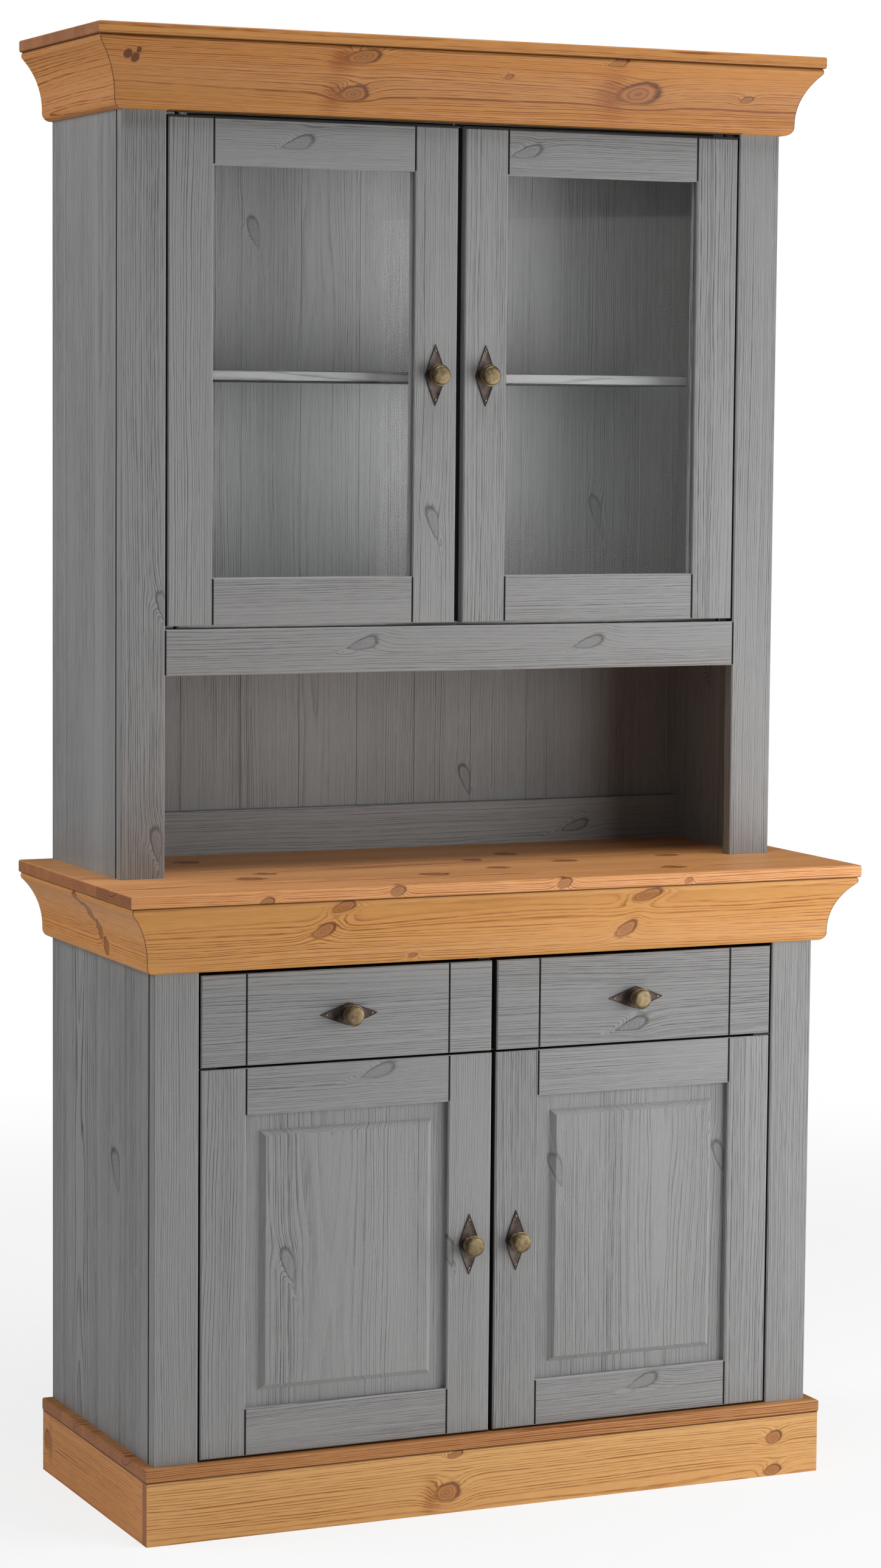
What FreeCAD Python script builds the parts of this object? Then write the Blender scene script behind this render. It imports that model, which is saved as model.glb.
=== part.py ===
import FreeCAD, Part
import math
import os
import Sketcher

# A two-part welsh dresser: a base cupboard with two doors under two drawers, and a shallower
# glazed cupboard that stands over an open niche. Millimetres, front towards -Y, floor at Z 0.

os.makedirs("parts", exist_ok=True)
doc = FreeCAD.newDocument("dresser")

# Driving sizes
SIZES = {
    "carcase_width": 917,
    "base_depth": 384,
    "upper_depth": 262,
    "plinth_height": 80,
    "base_height": 699,
    "upper_height": 1035,
    "niche_height": 253,
    "counter_overhang": 46.5,
    "top_overhang": 44.5,
    "plinth_overhang": 13.5,
    "base_board_overhang": 14.5,
    "counter_thickness": 16,
    "base_board_thickness": 16,
    "top_board_thickness": 15,
    "side_thickness": 15.5,
    "plinth_thickness": 15,
    "board_round": 2.6,
    "arris": 1.4,
    "seam_arris": 2,
    "stile_width": 58.5,
    "stile_thickness": 18,
    "under_rail_height": 58,
    "rail_tenon": 8,
    "floor_thickness": 16,
    "shelf_thickness": 14,
    "housing_depth": 5,
    "upper_shelf_length": 723,
    "upper_shelf_front": 68,
    "upper_shelf_height": 620,
    "base_shelf_height": 232,
    "base_shelf_front": 60,
    "back_inset": 6,
    "back_thickness": 10,
    "back_board_width": 84,
    "back_first_board": 71,
    "back_groove_width": 1.6,
    "niche_rail_height": 58,
    "niche_rail_thickness": 14,
    "moulding_height": 86,
    "moulding_bead": 14.3,
    "bead_round": 11,
    "bead_height": 14,
    "nose_setback": 2.6,
    "nose_round": 6,
    "nose_height": 8.4,
    "door_thickness": 18,
    "door_side_gap": 3,
    "upper_door_gap": 4,
    "upper_door_middle_gap": 11,
    "lower_door_middle_gap": 6,
    "drawer_middle_gap": 7.4,
    "lower_door_floor_gap": 2.4,
    "drawer_door_gap": 3,
    "drawer_top_gap": 5,
    "drawer_front_height": 114.6,
    "frame_width": 59.5,
    "groove_depth": 9,
    "panel_play": 1,
    "panel_setback": 8.5,
    "panel_margin": 20.5,
    "panel_bevel": 7,
    "panel_thickness": 6,
    "glass_setback": 7,
    "glass_thickness": 4,
    "joint_play": 0.1,
    "pivot_inset": 14,
    "pivot_setback": 9,
    "pivot_diameter": 6,
    "pivot_play": 0.05,
    "pivot_socket": 10,
    "bracket_thickness": 1.6,
    "bracket_width": 16,
    "bracket_tail": 34,
    "drawer_side_thickness": 12,
    "drawer_bottom_thickness": 6,
    "drawer_box_height": 88,
    "drawer_back_room": 28,
    "drawer_side_room": 2.5,
    "drawer_lift": 2.2,
    "drawer_shelf_thickness": 12,
    "drawer_shelf_front": 34,
    "divider_thickness": 16,
    "front_groove_width": 3,
    "plate_length": 78,
    "plate_width": 29.5,
    "plate_thickness": 1.2,
    "plate_border": 1.1,
    "plate_border_rise": 0.5,
    "knob_diameter": 27.6,
    "knob_projection": 22,
}


class Size:
    """A length that knows both its formula over the sheet and its present number."""

    def __init__(self, text, number):
        self.text = text
        self.number = number

    def join(self, sign, other, number):
        return Size("(%s %s %s)" % (self.text, sign, size(other).text), number)

    def __add__(self, other):
        return self.join("+", other, self.number + size(other).number)

    def __sub__(self, other):
        return self.join("-", other, self.number - size(other).number)

    def __mul__(self, other):
        return self.join("*", other, self.number * size(other).number)

    def __truediv__(self, other):
        return self.join("/", other, self.number / size(other).number)

    def __radd__(self, other):
        return size(other) + self

    def __rsub__(self, other):
        return size(other) - self

    def __rmul__(self, other):
        return size(other) * self

    def __neg__(self):
        return size(0) - self


def size(value):
    """Any plain number as a Size."""
    if isinstance(value, Size):
        return value
    return Size(repr(float(value)), float(value))


def root(value):
    """Square root of a Size."""
    return Size("sqrt(%s)" % value.text, math.sqrt(value.number))


def whole(value):
    """The whole number below a Size."""
    return Size("floor(%s)" % value.text, math.floor(value.number))


# The sheet of sizes, one row for each
sheet = doc.addObject("Spreadsheet::Sheet", "Sizes")
for row, (alias, number) in enumerate(SIZES.items(), start=1):
    sheet.set("A%d" % row, alias)
    sheet.set("B%d" % row, str(number))
    sheet.setAlias("B%d" % row, alias)
doc.recompute()


def given(alias):
    """A driving size out of the sheet."""
    return Size("Sizes.%s" % alias, float(SIZES[alias]))


finished = []
corner = {}


def bind(thing, name, value):
    """Tie a property to the sheet."""
    thing.setExpression(name, size(value).text)


def place(thing, x, y, z):
    """Tie a position to the sheet."""
    bind(thing, "Placement.Base.x", x)
    bind(thing, "Placement.Base.y", y)
    bind(thing, "Placement.Base.z", z)


def new_body(label, x, y, z):
    """An empty body whose local zero stands at the given point."""
    body = doc.addObject("PartDesign::Body", label)
    body.Label = label
    place(body, x, y, z)
    corner[body.Name] = (size(x), size(y), size(z))
    return body


def origin_plane(body, role):
    """One of the body's three datum planes or axes."""
    for feature in body.Origin.OriginFeatures:
        if feature.Role == role:
            return feature
    raise ValueError(role)


def arc_between(start, end, radius, bulge):
    """Arc of a given radius between two points; the bulge, 1 or -1, says whether its middle lies to
    the left or to the right of the way from start to end."""
    half = (end - start) * 0.5
    rise = math.sqrt(max(radius * radius - half.Length * half.Length, 0.0))
    left = FreeCAD.Vector(-half.y, half.x, 0).normalize()
    centre = start + half - left * rise * bulge
    first = start if bulge < 0 else end
    last = end if bulge < 0 else start
    angles = [math.atan2(point.y - centre.y, point.x - centre.x) for point in (first, last)]
    if angles[1] < angles[0]:
        angles[1] = angles[1] + 2 * math.pi
    circle = Part.Circle(centre, FreeCAD.Vector(0, 0, 1), radius)
    return Part.ArcOfCircle(circle, angles[0], angles[1])


def draw(body, role, loops):
    """Closed outlines on an origin plane. A loop lists points as (u, v), or as (u, v, radius, bulge)
    where an arc leads from that point to the next one. Every point is tied to the sheet."""
    sketch = body.newObject("Sketcher::SketchObject", body.Name + "_outline")
    sketch.AttachmentSupport = [(origin_plane(body, role), "")]
    sketch.MapMode = "FlatFace"
    for loop in loops:
        points = [FreeCAD.Vector(size(p[0]).number, size(p[1]).number, 0) for p in loop]
        first = sketch.GeometryCount
        for i, point in enumerate(loop):
            start = points[i]
            end = points[(i + 1) % len(points)]
            if len(point) == 4:
                sketch.addGeometry(arc_between(start, end, size(point[2]).number, point[3]), False)
            else:
                sketch.addGeometry(Part.LineSegment(start, end), False)
        ends = [(2, 1) if len(point) == 4 and point[3] > 0 else (1, 2) for point in loop]
        for i, point in enumerate(loop):
            following = (i + 1) % len(loop)
            sketch.addConstraint(Sketcher.Constraint(
                "Coincident", first + i, ends[i][1], first + following, ends[following][0]))
            for kind, value, axis in (("DistanceX", size(point[0]), -2), ("DistanceY", size(point[1]), -1)):
                if abs(value.number) < 1e-9:
                    sketch.addConstraint(Sketcher.Constraint("PointOnObject", first + i, ends[i][0], axis))
                else:
                    index = sketch.addConstraint(Sketcher.Constraint(
                        kind, -1, 1, first + i, ends[i][0], value.number))
                    sketch.setExpression("Constraints[%d]" % index, value.text)
            if len(point) == 4:
                index = sketch.addConstraint(Sketcher.Constraint(
                    "Radius", first + i, size(point[2]).number))
                sketch.setExpression("Constraints[%d]" % index, size(point[2]).text)
    return sketch


def pad(body, sketch, length, backwards=False):
    """Raise an outline into a solid."""
    feature = body.newObject("PartDesign::Pad", body.Name + "_pad")
    feature.Profile = sketch
    bind(feature, "Length", length)
    feature.Reversed = backwards
    sketch.Visibility = False
    doc.recompute()
    return feature


def cut_through(body, sketch):
    """Cut an outline through the whole body, upwards from its plane."""
    feature = body.newObject("PartDesign::Pocket", body.Name + "_cut")
    feature.Profile = sketch
    feature.Type = "ThroughAll"
    feature.Reversed = True
    sketch.Visibility = False
    doc.recompute()
    return feature


def spin(body, sketch, role):
    """Turn an outline about an axis of the body."""
    feature = body.newObject("PartDesign::Revolution", body.Name + "_turned")
    feature.Profile = sketch
    feature.ReferenceAxis = (origin_plane(body, role), [""])
    feature.Angle = 360
    sketch.Visibility = False
    doc.recompute()
    return feature


def stock(body, kind, x, y, z):
    """A box added to the body or taken from it, with its place given in the frame."""
    base = corner[body.Name]
    feature = body.newObject("PartDesign::%sBox" % kind, body.Name + "_" + kind.lower())
    bind(feature, "Length", size(x[1]) - x[0])
    bind(feature, "Width", size(y[1]) - y[0])
    bind(feature, "Height", size(z[1]) - z[0])
    place(feature, size(x[0]) - base[0], size(y[0]) - base[1], size(z[0]) - base[2])
    doc.recompute()
    return feature


TURN = {
    "x": FreeCAD.Rotation(FreeCAD.Vector(0, 1, 0), 90),
    "y": FreeCAD.Rotation(FreeCAD.Vector(1, 0, 0), -90),
    "z": FreeCAD.Rotation(),
}


def round_stock(body, kind, start, axis, diameter, length):
    """A cylinder added to the body or taken from it, running along +axis from a point in the frame."""
    base = corner[body.Name]
    feature = body.newObject("PartDesign::%sCylinder" % kind, body.Name + "_" + kind.lower())
    feature.Placement = FreeCAD.Placement(FreeCAD.Vector(0, 0, 0), TURN[axis])
    bind(feature, "Radius", size(diameter) / 2)
    bind(feature, "Height", length)
    place(feature, size(start[0]) - base[0], size(start[1]) - base[1], size(start[2]) - base[2])
    doc.recompute()
    return feature


SIDES = (("left", "XMin"), ("right", "XMax"), ("front", "YMin"),
         ("back", "YMax"), ("bottom", "ZMin"), ("top", "ZMax"))


def sides_of(part, whole_box):
    """The outer sides of a box on which a face or an edge lies."""
    box = part.BoundBox
    found = set()
    for name, key in SIDES:
        level = getattr(whole_box, key)
        low = getattr(box, key[0] + "Min")
        high = getattr(box, key[0] + "Max")
        if abs(low - level) < 1e-4 and abs(high - level) < 1e-4:
            found.add(name)
    return found


def edges_on(feature, wanted):
    """Names of the edges that lie on both sides of each wanted pair."""
    pairs = [set(pair.split()) for pair in wanted]
    names = []
    for number, edge in enumerate(feature.Shape.Edges, start=1):
        if sides_of(edge, feature.Shape.BoundBox) in pairs:
            names.append("Edge%d" % number)
    return names


def ease(body, wanted, amount, kind="Chamfer"):
    """Take off the wanted edges of the body as it stands: a planed arris, or a rounding."""
    feature = body.newObject("PartDesign::" + kind, body.Name + "_eased")
    base = feature.BaseFeature
    feature.Base = (base, edges_on(base, wanted))
    bind(feature, "Radius" if kind == "Fillet" else "Size", amount)
    doc.recompute()
    return feature


def board(label, x, y, z, eased=(), amount=None, kind="Chamfer"):
    """A straight board between three pairs of planes."""
    body = new_body(label, x[0], y[0], z[0])
    stock(body, "Additive", x, y, z)
    if eased:
        ease(body, eased, amount, kind)
    return body


def keep(item):
    """Count a piece among those that are written out."""
    finished.append(item)
    return item


def group(label, bodies):
    """Like pieces that share one node, each still a solid of its own."""
    item = doc.addObject("Part::Compound", label)
    item.Label = label
    item.Links = bodies
    doc.recompute()
    return keep(item)


# Planes of the carcase
half_width = given("carcase_width") / 2
back_plane = (given("base_depth") + given("counter_overhang")) / 2
base_front = back_plane - given("base_depth")
upper_front = back_plane - given("upper_depth")
base_floor = given("plinth_height") + given("base_board_thickness")
counter_under = base_floor + given("base_height")
counter_top = counter_under + given("counter_thickness")
top_under = counter_top + given("upper_height")
counter_moulding_foot = counter_under - given("moulding_height")
cornice_foot = top_under - given("moulding_height")
under_rail_foot = counter_top + given("niche_height")
under_rail_top = under_rail_foot + given("under_rail_height")
stile_inner = half_width - given("stile_width")
side_inner = half_width - given("side_thickness")
back_rear = back_plane - given("back_inset")
back_face = back_rear - given("back_thickness")
stile = given("stile_thickness")
arris = given("arris")
seam = given("seam_arris")

FRONT_LONG = ("front left", "front right")
FRONT_ALL = ("front left", "front right", "front top", "front bottom")
RIM = ("front top", "front bottom", "left top", "left bottom", "right top", "right bottom")

# Plinth
plinth_half = half_width + given("plinth_overhang")
plinth_front_y = base_front - given("plinth_overhang")
plinth_inner = plinth_half - given("plinth_thickness")
plinth_z = (0, given("plinth_height"))
keep(board("plinth_front", (-plinth_half, plinth_half),
           (plinth_front_y, plinth_front_y + given("plinth_thickness")), plinth_z))
plinth_y = (plinth_front_y + given("plinth_thickness"), back_plane)
keep(board("plinth_side_left", (-plinth_half, -plinth_inner), plinth_y, plinth_z))
keep(board("plinth_side_right", (plinth_inner, plinth_half), plinth_y, plinth_z))
keep(board("plinth_back_rail", (-plinth_inner, plinth_inner),
           (back_plane - given("plinth_thickness"), back_plane), plinth_z))

# Base board
base_board_half = half_width + given("base_board_overhang")
base_board = board("base_board", (-base_board_half, base_board_half),
                   (base_front - given("base_board_overhang"), back_plane),
                   (given("plinth_height"), base_floor), RIM, given("board_round"), "Fillet")
keep(base_board)

# Doors and drawers share these lines
door_outer = stile_inner - given("door_side_gap")
pivot_x = door_outer - given("pivot_inset")
upper_door_z = (under_rail_top + given("upper_door_gap"), cornice_foot - given("upper_door_gap"))
drawer_top = counter_moulding_foot - given("drawer_top_gap")
drawer_foot = drawer_top - given("drawer_front_height")
lower_door_z = (base_floor + given("lower_door_floor_gap"), drawer_foot - given("drawer_door_gap"))
pivot_bore = given("pivot_diameter") + 2 * given("pivot_play")
bracket_z = drawer_foot - (given("drawer_door_gap") + given("bracket_thickness")) / 2
bracket_top = bracket_z + given("bracket_thickness")

# Base sides, stiles and the rail behind the counter moulding
shelf_slot = base_floor + given("base_shelf_height")
drawer_shelf_top = drawer_foot + given("drawer_lift")
drawer_shelf_under = drawer_shelf_top - given("drawer_shelf_thickness")
base_side_y = (base_front + stile, back_plane)
base_z = (base_floor, counter_under)


def housed_side(label, side, y, z, slots):
    """A side panel with stopped housings for the boards that it carries; the arris at its front and that
    of the stile before it leave a groove along their joint."""
    x = (-half_width, -side_inner) if side < 0 else (side_inner, half_width)
    body = board(label, x, y, z, ("front left",) if side < 0 else ("front right",), seam)
    floor = given("housing_depth")
    slot_x = (-side_inner - floor, -side_inner) if side < 0 else (side_inner, side_inner + floor)
    for slot_y, slot_z in slots:
        stock(body, "Subtractive", slot_x, slot_y, slot_z)
    return keep(body)


base_shelf_y = (base_front + given("base_shelf_front"), back_face)
base_shelf_z = (shelf_slot, shelf_slot + given("shelf_thickness"))
drawer_shelf_y = (base_front + given("drawer_shelf_front"), back_face)
drawer_shelf_z = (drawer_shelf_under, drawer_shelf_top)
base_slots = [(base_shelf_y, base_shelf_z), (drawer_shelf_y, drawer_shelf_z)]
for name, side in (("left", -1), ("right", 1)):
    housed_side("base_side_" + name, side, base_side_y, base_z, base_slots)


def front_stile(label, side, front, z, mortises):
    """An upright of the front frame, mortised for the rails that meet it."""
    x = (-half_width, -stile_inner) if side < 0 else (stile_inner, half_width)
    body = board(label, x, (front, front + stile), z, FRONT_LONG, arris)
    ease(body, ("back left",) if side < 0 else ("back right",), seam)
    tenon = given("rail_tenon")
    slot_x = (-stile_inner - tenon, -stile_inner) if side < 0 else (stile_inner, stile_inner + tenon)
    slot_y = (front + stile / 3, front + stile * 2 / 3)
    for slot_z in mortises:
        stock(body, "Subtractive", slot_x, slot_y, slot_z)
    return keep(body)


def tenon_span(z):
    """The part of a rail's height that runs on as its tenon."""
    shoulder = (size(z[1]) - z[0]) / 6
    return (z[0] + shoulder, z[1] - shoulder)


def front_rail(label, front, z, eased):
    """A rail of the front frame, its stub tenons let into both uprights."""
    body = board(label, (-stile_inner, stile_inner), (front, front + stile), z, eased, arris)
    reach = stile_inner + given("rail_tenon")
    stock(body, "Additive", (-reach, reach), (front + stile / 3, front + stile * 2 / 3), tenon_span(z))
    return keep(body)


base_rail_z = (counter_moulding_foot, counter_under)
for name, side in (("left", -1), ("right", 1)):
    front_stile("base_stile_" + name, side, base_front, base_z, [tenon_span(base_rail_z)])
front_rail("base_top_rail", base_front, base_rail_z, ())

# Base back, shelf, drawer shelf and divider
keep(board("base_back", (-side_inner, side_inner), (back_face, back_rear), base_z))
housed = side_inner + given("housing_depth")
keep(board("base_shelf", (-housed, housed), base_shelf_y, base_shelf_z,
           ("front top", "front bottom"), arris))
keep(board("drawer_shelf", (-housed, housed), drawer_shelf_y, drawer_shelf_z))
divider_half = given("divider_thickness") / 2
keep(board("drawer_divider", (-divider_half, divider_half),
           (base_front + given("drawer_shelf_front"), back_face), (drawer_shelf_top, counter_under)))

# Counter and top boards
counter_half = half_width + given("counter_overhang")
keep(board("counter_board", (-counter_half, counter_half),
           (base_front - given("counter_overhang"), back_plane), (counter_under, counter_top),
           RIM, given("board_round"), "Fillet"))
top_half = half_width + given("top_overhang")
top_z = (top_under, top_under + given("top_board_thickness"))
keep(board("top_board", (-top_half, top_half), (upper_front - given("top_overhang"), back_plane),
           top_z, RIM, given("board_round"), "Fillet"))

# Cove mouldings, mitred where the front meets the sides


def cove(nose, outward, height):
    """Section of the moulding: a rounded bead below, a hollow cove and a round nose above.
    The outward function turns a distance from the carcase into the sketch's own coordinate."""
    bead = given("moulding_bead")
    foot = given("bead_round")
    start = given("bead_height")
    chin = height - given("nose_height")
    half_nose = given("nose_height") / 2
    sag = given("nose_round") - root(given("nose_round") * given("nose_round") - half_nose * half_nose)
    lip = nose - sag
    run = lip - bead
    climb = chin - start
    hollow = (run * run + climb * climb) / (2 * run)
    flip = 1 if outward(size(1)).number > outward(size(0)).number else -1
    return [
        (outward(size(0)), 0),
        (outward(bead - foot), 0, foot, -flip),
        (outward(bead), foot),
        (outward(bead), start, hollow, flip),
        (outward(lip), chin, given("nose_round"), -flip),
        (outward(lip), height),
        (outward(size(0)), height),
    ]


def moulding(prefix, front, foot, overhang):
    """Three lengths of moulding under an overhanging board."""
    nose = given(overhang) - given("nose_setback")
    height = given("moulding_height")
    reach = half_width + nose
    body = new_body(prefix + "_front", -reach, front - nose, foot)
    pad(body, draw(body, "YZ_Plane", [cove(nose, lambda p: nose - p, height)]), 2 * reach)
    ends = [[(0, 0), (nose, nose), (0, nose)],
            [(2 * reach, 0), (2 * reach, nose), (2 * reach - nose, nose)]]
    cut_through(body, draw(body, "XY_Plane", ends))
    keep(body)
    depth = back_plane - front + nose
    body = new_body(prefix + "_left", -half_width - nose, front - nose, foot)
    pad(body, draw(body, "XZ_Plane", [cove(nose, lambda p: nose - p, height)]), depth, True)
    cut_through(body, draw(body, "XY_Plane", [[(0, 0), (nose, 0), (nose, nose)]]))
    keep(body)
    body = new_body(prefix + "_right", half_width, front - nose, foot)
    pad(body, draw(body, "XZ_Plane", [cove(nose, lambda p: size(p), height)]), depth, True)
    cut_through(body, draw(body, "XY_Plane", [[(0, 0), (nose, 0), (0, nose)]]))
    keep(body)


moulding("counter_moulding", base_front, counter_moulding_foot, "counter_overhang")
moulding("cornice", upper_front, cornice_foot, "top_overhang")

# Upper sides, stiles and rails
upper_z = (counter_top, top_under)
floor_top = under_rail_top
floor_z = (floor_top - given("floor_thickness"), floor_top)
floor_y = (upper_front + stile, back_face)
for name, side in (("left", -1), ("right", 1)):
    housed_side("upper_side_" + name, side, (upper_front + stile, back_plane), upper_z,
                [(floor_y, floor_z)])
under_rail_z = (under_rail_foot, under_rail_top)
cornice_rail_z = (cornice_foot, top_under)
for name, side in (("left", -1), ("right", 1)):
    front_stile("upper_stile_" + name, side, upper_front, upper_z,
                [tenon_span(under_rail_z), tenon_span(cornice_rail_z)])
under_rail = front_rail("under_door_rail", upper_front, under_rail_z, FRONT_ALL)
cornice_rail = front_rail("cornice_rail", upper_front, cornice_rail_z, ())
keep(board("upper_floor", (-housed, housed), floor_y, floor_z))

# Tongued back boards of the upper part, with a groove at every joint
upper_back = new_body("back_boards", -side_inner, back_face, counter_top)
back_span = 2 * side_inner
rear = given("back_thickness")
pad(upper_back, draw(upper_back, "XY_Plane", [[(0, 0), (back_span, 0), (back_span, rear), (0, rear)]]),
    given("upper_height"))
groove = given("back_groove_width") / 2
joint = given("back_first_board")
first_cut = cut_through(upper_back, draw(upper_back, "XY_Plane", [
    [(joint - groove, 0), (joint + groove, 0), (joint, groove)]]))
joints = whole((back_span - joint) / given("back_board_width"))
rows = upper_back.newObject("PartDesign::LinearPattern", "back_board_joints")
rows.Originals = [first_cut]
rows.Direction = (origin_plane(upper_back, "X_Axis"), [""])
bind(rows, "Length", given("back_board_width") * joints)
bind(rows, "Occurrences", joints + 1)
upper_back.Tip = rows
doc.recompute()
keep(upper_back)

# Low rail at the back of the niche, and the plate shelf behind the glass
keep(board("niche_back_rail", (-side_inner, side_inner),
           (back_face - given("niche_rail_thickness"), back_face),
           (counter_top, counter_top + given("niche_rail_height")), ("front top",), arris))
shelf_half = given("upper_shelf_length") / 2
shelf_foot = counter_top + given("upper_shelf_height")
keep(board("upper_shelf", (-shelf_half, shelf_half),
           (upper_front + given("upper_shelf_front"), back_face),
           (shelf_foot, shelf_foot + given("shelf_thickness")),
           ("front top", "front bottom", "left top", "right top"), arris))

# Pulls: a turned knob on a diamond plate


def diamond(cx, cz, wide, tall):
    """Corner points of a lozenge."""
    return [(cx - wide, cz), (cx, cz - tall), (cx + wide, cz), (cx, cz + tall)]


def knob(label, x, front, z):
    """The turned knob: a flat face, a stepped rim, and a neck that stands on the plate."""
    wide = given("knob_diameter") / 2
    deep = given("knob_projection")
    body = new_body(label, x, front - given("plate_thickness") - deep, z)
    section = [
        (0, 0),
        (wide * 0.88, 0),
        (wide * 0.88, deep * 0.14),
        (wide, deep * 0.14),
        (wide, deep * 0.35),
        (wide * 0.46, deep * 0.35),
        (wide * 0.46, deep),
        (0, deep),
    ]
    spin(body, draw(body, "XY_Plane", [section]), "Y_Axis")
    return body


def plate(label, x, front, z, upright):
    """The diamond plate with a thin raised border."""
    long_half = given("plate_length") / 2
    short_half = given("plate_width") / 2
    wide = short_half if upright else long_half
    tall = long_half if upright else short_half
    slope = root(long_half * long_half + short_half * short_half)
    inner_wide = wide - given("plate_border") * slope / tall
    inner_tall = tall - given("plate_border") * slope / wide
    body = new_body(label, x - wide, front, z - tall)
    outer = diamond(wide, tall, wide, tall)
    pad(body, draw(body, "XZ_Plane", [outer]), given("plate_thickness"))
    inner = diamond(wide, tall, inner_wide, inner_tall)
    pad(body, draw(body, "XZ_Plane", [outer, inner]),
        given("plate_thickness") + given("plate_border_rise"))
    return body


def pull(label, x, front, z, upright):
    """The whole pull on a door stile or a drawer front."""
    return group(label, [plate(label + "_plate", x, front, z, upright),
                         knob(label + "_knob", x, front, z)])


# Doors: grooved stiles and rails round a panel, turning on pins near the outer edge


def door_upright(label, x, front, z, groove_y, groove_right):
    """A door stile with the panel groove along its inner edge."""
    wide = size(x[1]) - x[0]
    deep = given("door_thickness")
    near, far = groove_y
    into = given("groove_depth")
    if groove_right:
        outline = [(0, 0), (wide, 0), (wide, near), (wide - into, near), (wide - into, far),
                   (wide, far), (wide, deep), (0, deep)]
    else:
        outline = [(0, 0), (wide, 0), (wide, deep), (0, deep), (0, far), (into, far),
                   (into, near), (0, near)]
    body = new_body(label, x[0], front, z[0])
    pad(body, draw(body, "XY_Plane", [outline]), size(z[1]) - z[0])
    ease(body, FRONT_ALL, arris)
    return body


def door_rail(label, x, front, z, groove_y, groove_up):
    """A door rail with the panel groove along its inner edge and stub tenons at both ends."""
    tall = size(z[1]) - z[0]
    deep = given("door_thickness")
    near, far = groove_y
    into = given("groove_depth")
    if groove_up:
        outline = [(0, 0), (deep, 0), (deep, tall), (far, tall), (far, tall - into),
                   (near, tall - into), (near, tall), (0, tall)]
        tongue_z = (z[0], z[1] - into)
    else:
        outline = [(0, 0), (near, 0), (near, into), (far, into), (far, 0), (deep, 0),
                   (deep, tall), (0, tall)]
        tongue_z = (z[0] + into, z[1])
    body = new_body(label, x[0], front, z[0])
    pad(body, draw(body, "YZ_Plane", [outline]), size(x[1]) - x[0])
    ease(body, FRONT_ALL, arris)
    tenon = into - given("panel_play")
    play = given("joint_play")
    stock(body, "Additive", (x[0] - tenon, x[1] + tenon),
          (front + near + play, front + far - play), tongue_z)
    return body


def raised_panel(label, x, front, z):
    """A fielded panel: a flat margin, a bevel, and a raised field."""
    into = given("groove_depth") - given("panel_play")
    margin = given("panel_margin")
    body = new_body(label, x[0] - into, front + given("panel_setback"), z[0] - into)
    wide = size(x[1]) - x[0] + 2 * into
    tall = size(z[1]) - z[0] + 2 * into
    outer = [(0, 0), (wide, 0), (wide, tall), (0, tall)]
    pad(body, draw(body, "XZ_Plane", [outer]), given("panel_thickness"), True)
    edge = into + margin
    field = [(edge, edge), (wide - edge, edge), (wide - edge, tall - edge), (edge, tall - edge)]
    raised = pad(body, draw(body, "XZ_Plane", [field]), given("panel_bevel"))
    raised.TaperAngle = -45
    doc.recompute()
    return body


def door(prefix, side, x, front, z, glazed):
    """One door with everything that swings with it."""
    frame = given("frame_width")
    inner_x = (size(x[0]) + frame, size(x[1]) - frame)
    inner_z = (z[0] + frame, z[1] - frame)
    setback = given("glass_setback") if glazed else given("panel_setback")
    filling = given("glass_thickness") if glazed else given("panel_thickness")
    play = given("joint_play")
    groove_y = (setback - play, setback + filling + play)
    left = door_upright(prefix + "_left_stile", (x[0], inner_x[0]), front, z, groove_y, True)
    right = door_upright(prefix + "_right_stile", (inner_x[1], x[1]), front, z, groove_y, False)
    hinge_stile = left if side < 0 else right
    centre_x = pivot_x * side
    centre_y = front + given("pivot_setback")
    socket = given("pivot_socket")
    for start in (z[0], z[1] - socket):
        round_stock(hinge_stile, "Subtractive", (centre_x, centre_y, start), "z", pivot_bore, socket)
    knob_x = (x[1] - frame / 2) if side < 0 else (x[0] + frame / 2)
    knob_z = (z[0] + z[1]) / 2
    group(prefix + "_stiles", [left, right])
    bottom = door_rail(prefix + "_bottom_rail", inner_x, front, (z[0], inner_z[0]), groove_y, True)
    top = door_rail(prefix + "_top_rail", inner_x, front, (inner_z[1], z[1]), groove_y, False)
    group(prefix + "_rails", [bottom, top])
    if glazed:
        into = given("groove_depth") - given("panel_play")
        keep(board(prefix + "_glass", (inner_x[0] - into, inner_x[1] + into),
                   (front + setback, front + setback + filling), (inner_z[0] - into, inner_z[1] + into)))
    else:
        keep(raised_panel(prefix + "_panel", inner_x, front, inner_z))
    pull(prefix + "_handle", knob_x, front, knob_z, True)


def pivot_pins(label, side, front, z, reach):
    """The two steel pins on which a door turns; the reach is how far each stands out of the door."""
    centre = (pivot_x * side, front + given("pivot_setback"))
    into = given("pivot_socket") - given("panel_play")
    pins = []
    for name, start, out in (("lower", z[0] - reach[0], reach[0]), ("upper", z[1] - into, reach[1])):
        pin = new_body("%s_%s" % (label, name), centre[0], centre[1], start)
        round_stock(pin, "Additive", (centre[0], centre[1], start), "z", given("pivot_diameter"),
                    into + out)
        pins.append(pin)
    return pins


# What holds the pins: sockets in the rails and the base board, and a bracket under each drawer


def pin_socket(body, side, front, z):
    """A bore that holds the fixed end of a door's pin."""
    round_stock(body, "Subtractive", (pivot_x * side, front + given("pivot_setback"), z), "z",
                given("pivot_diameter"), given("pivot_socket"))


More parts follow.
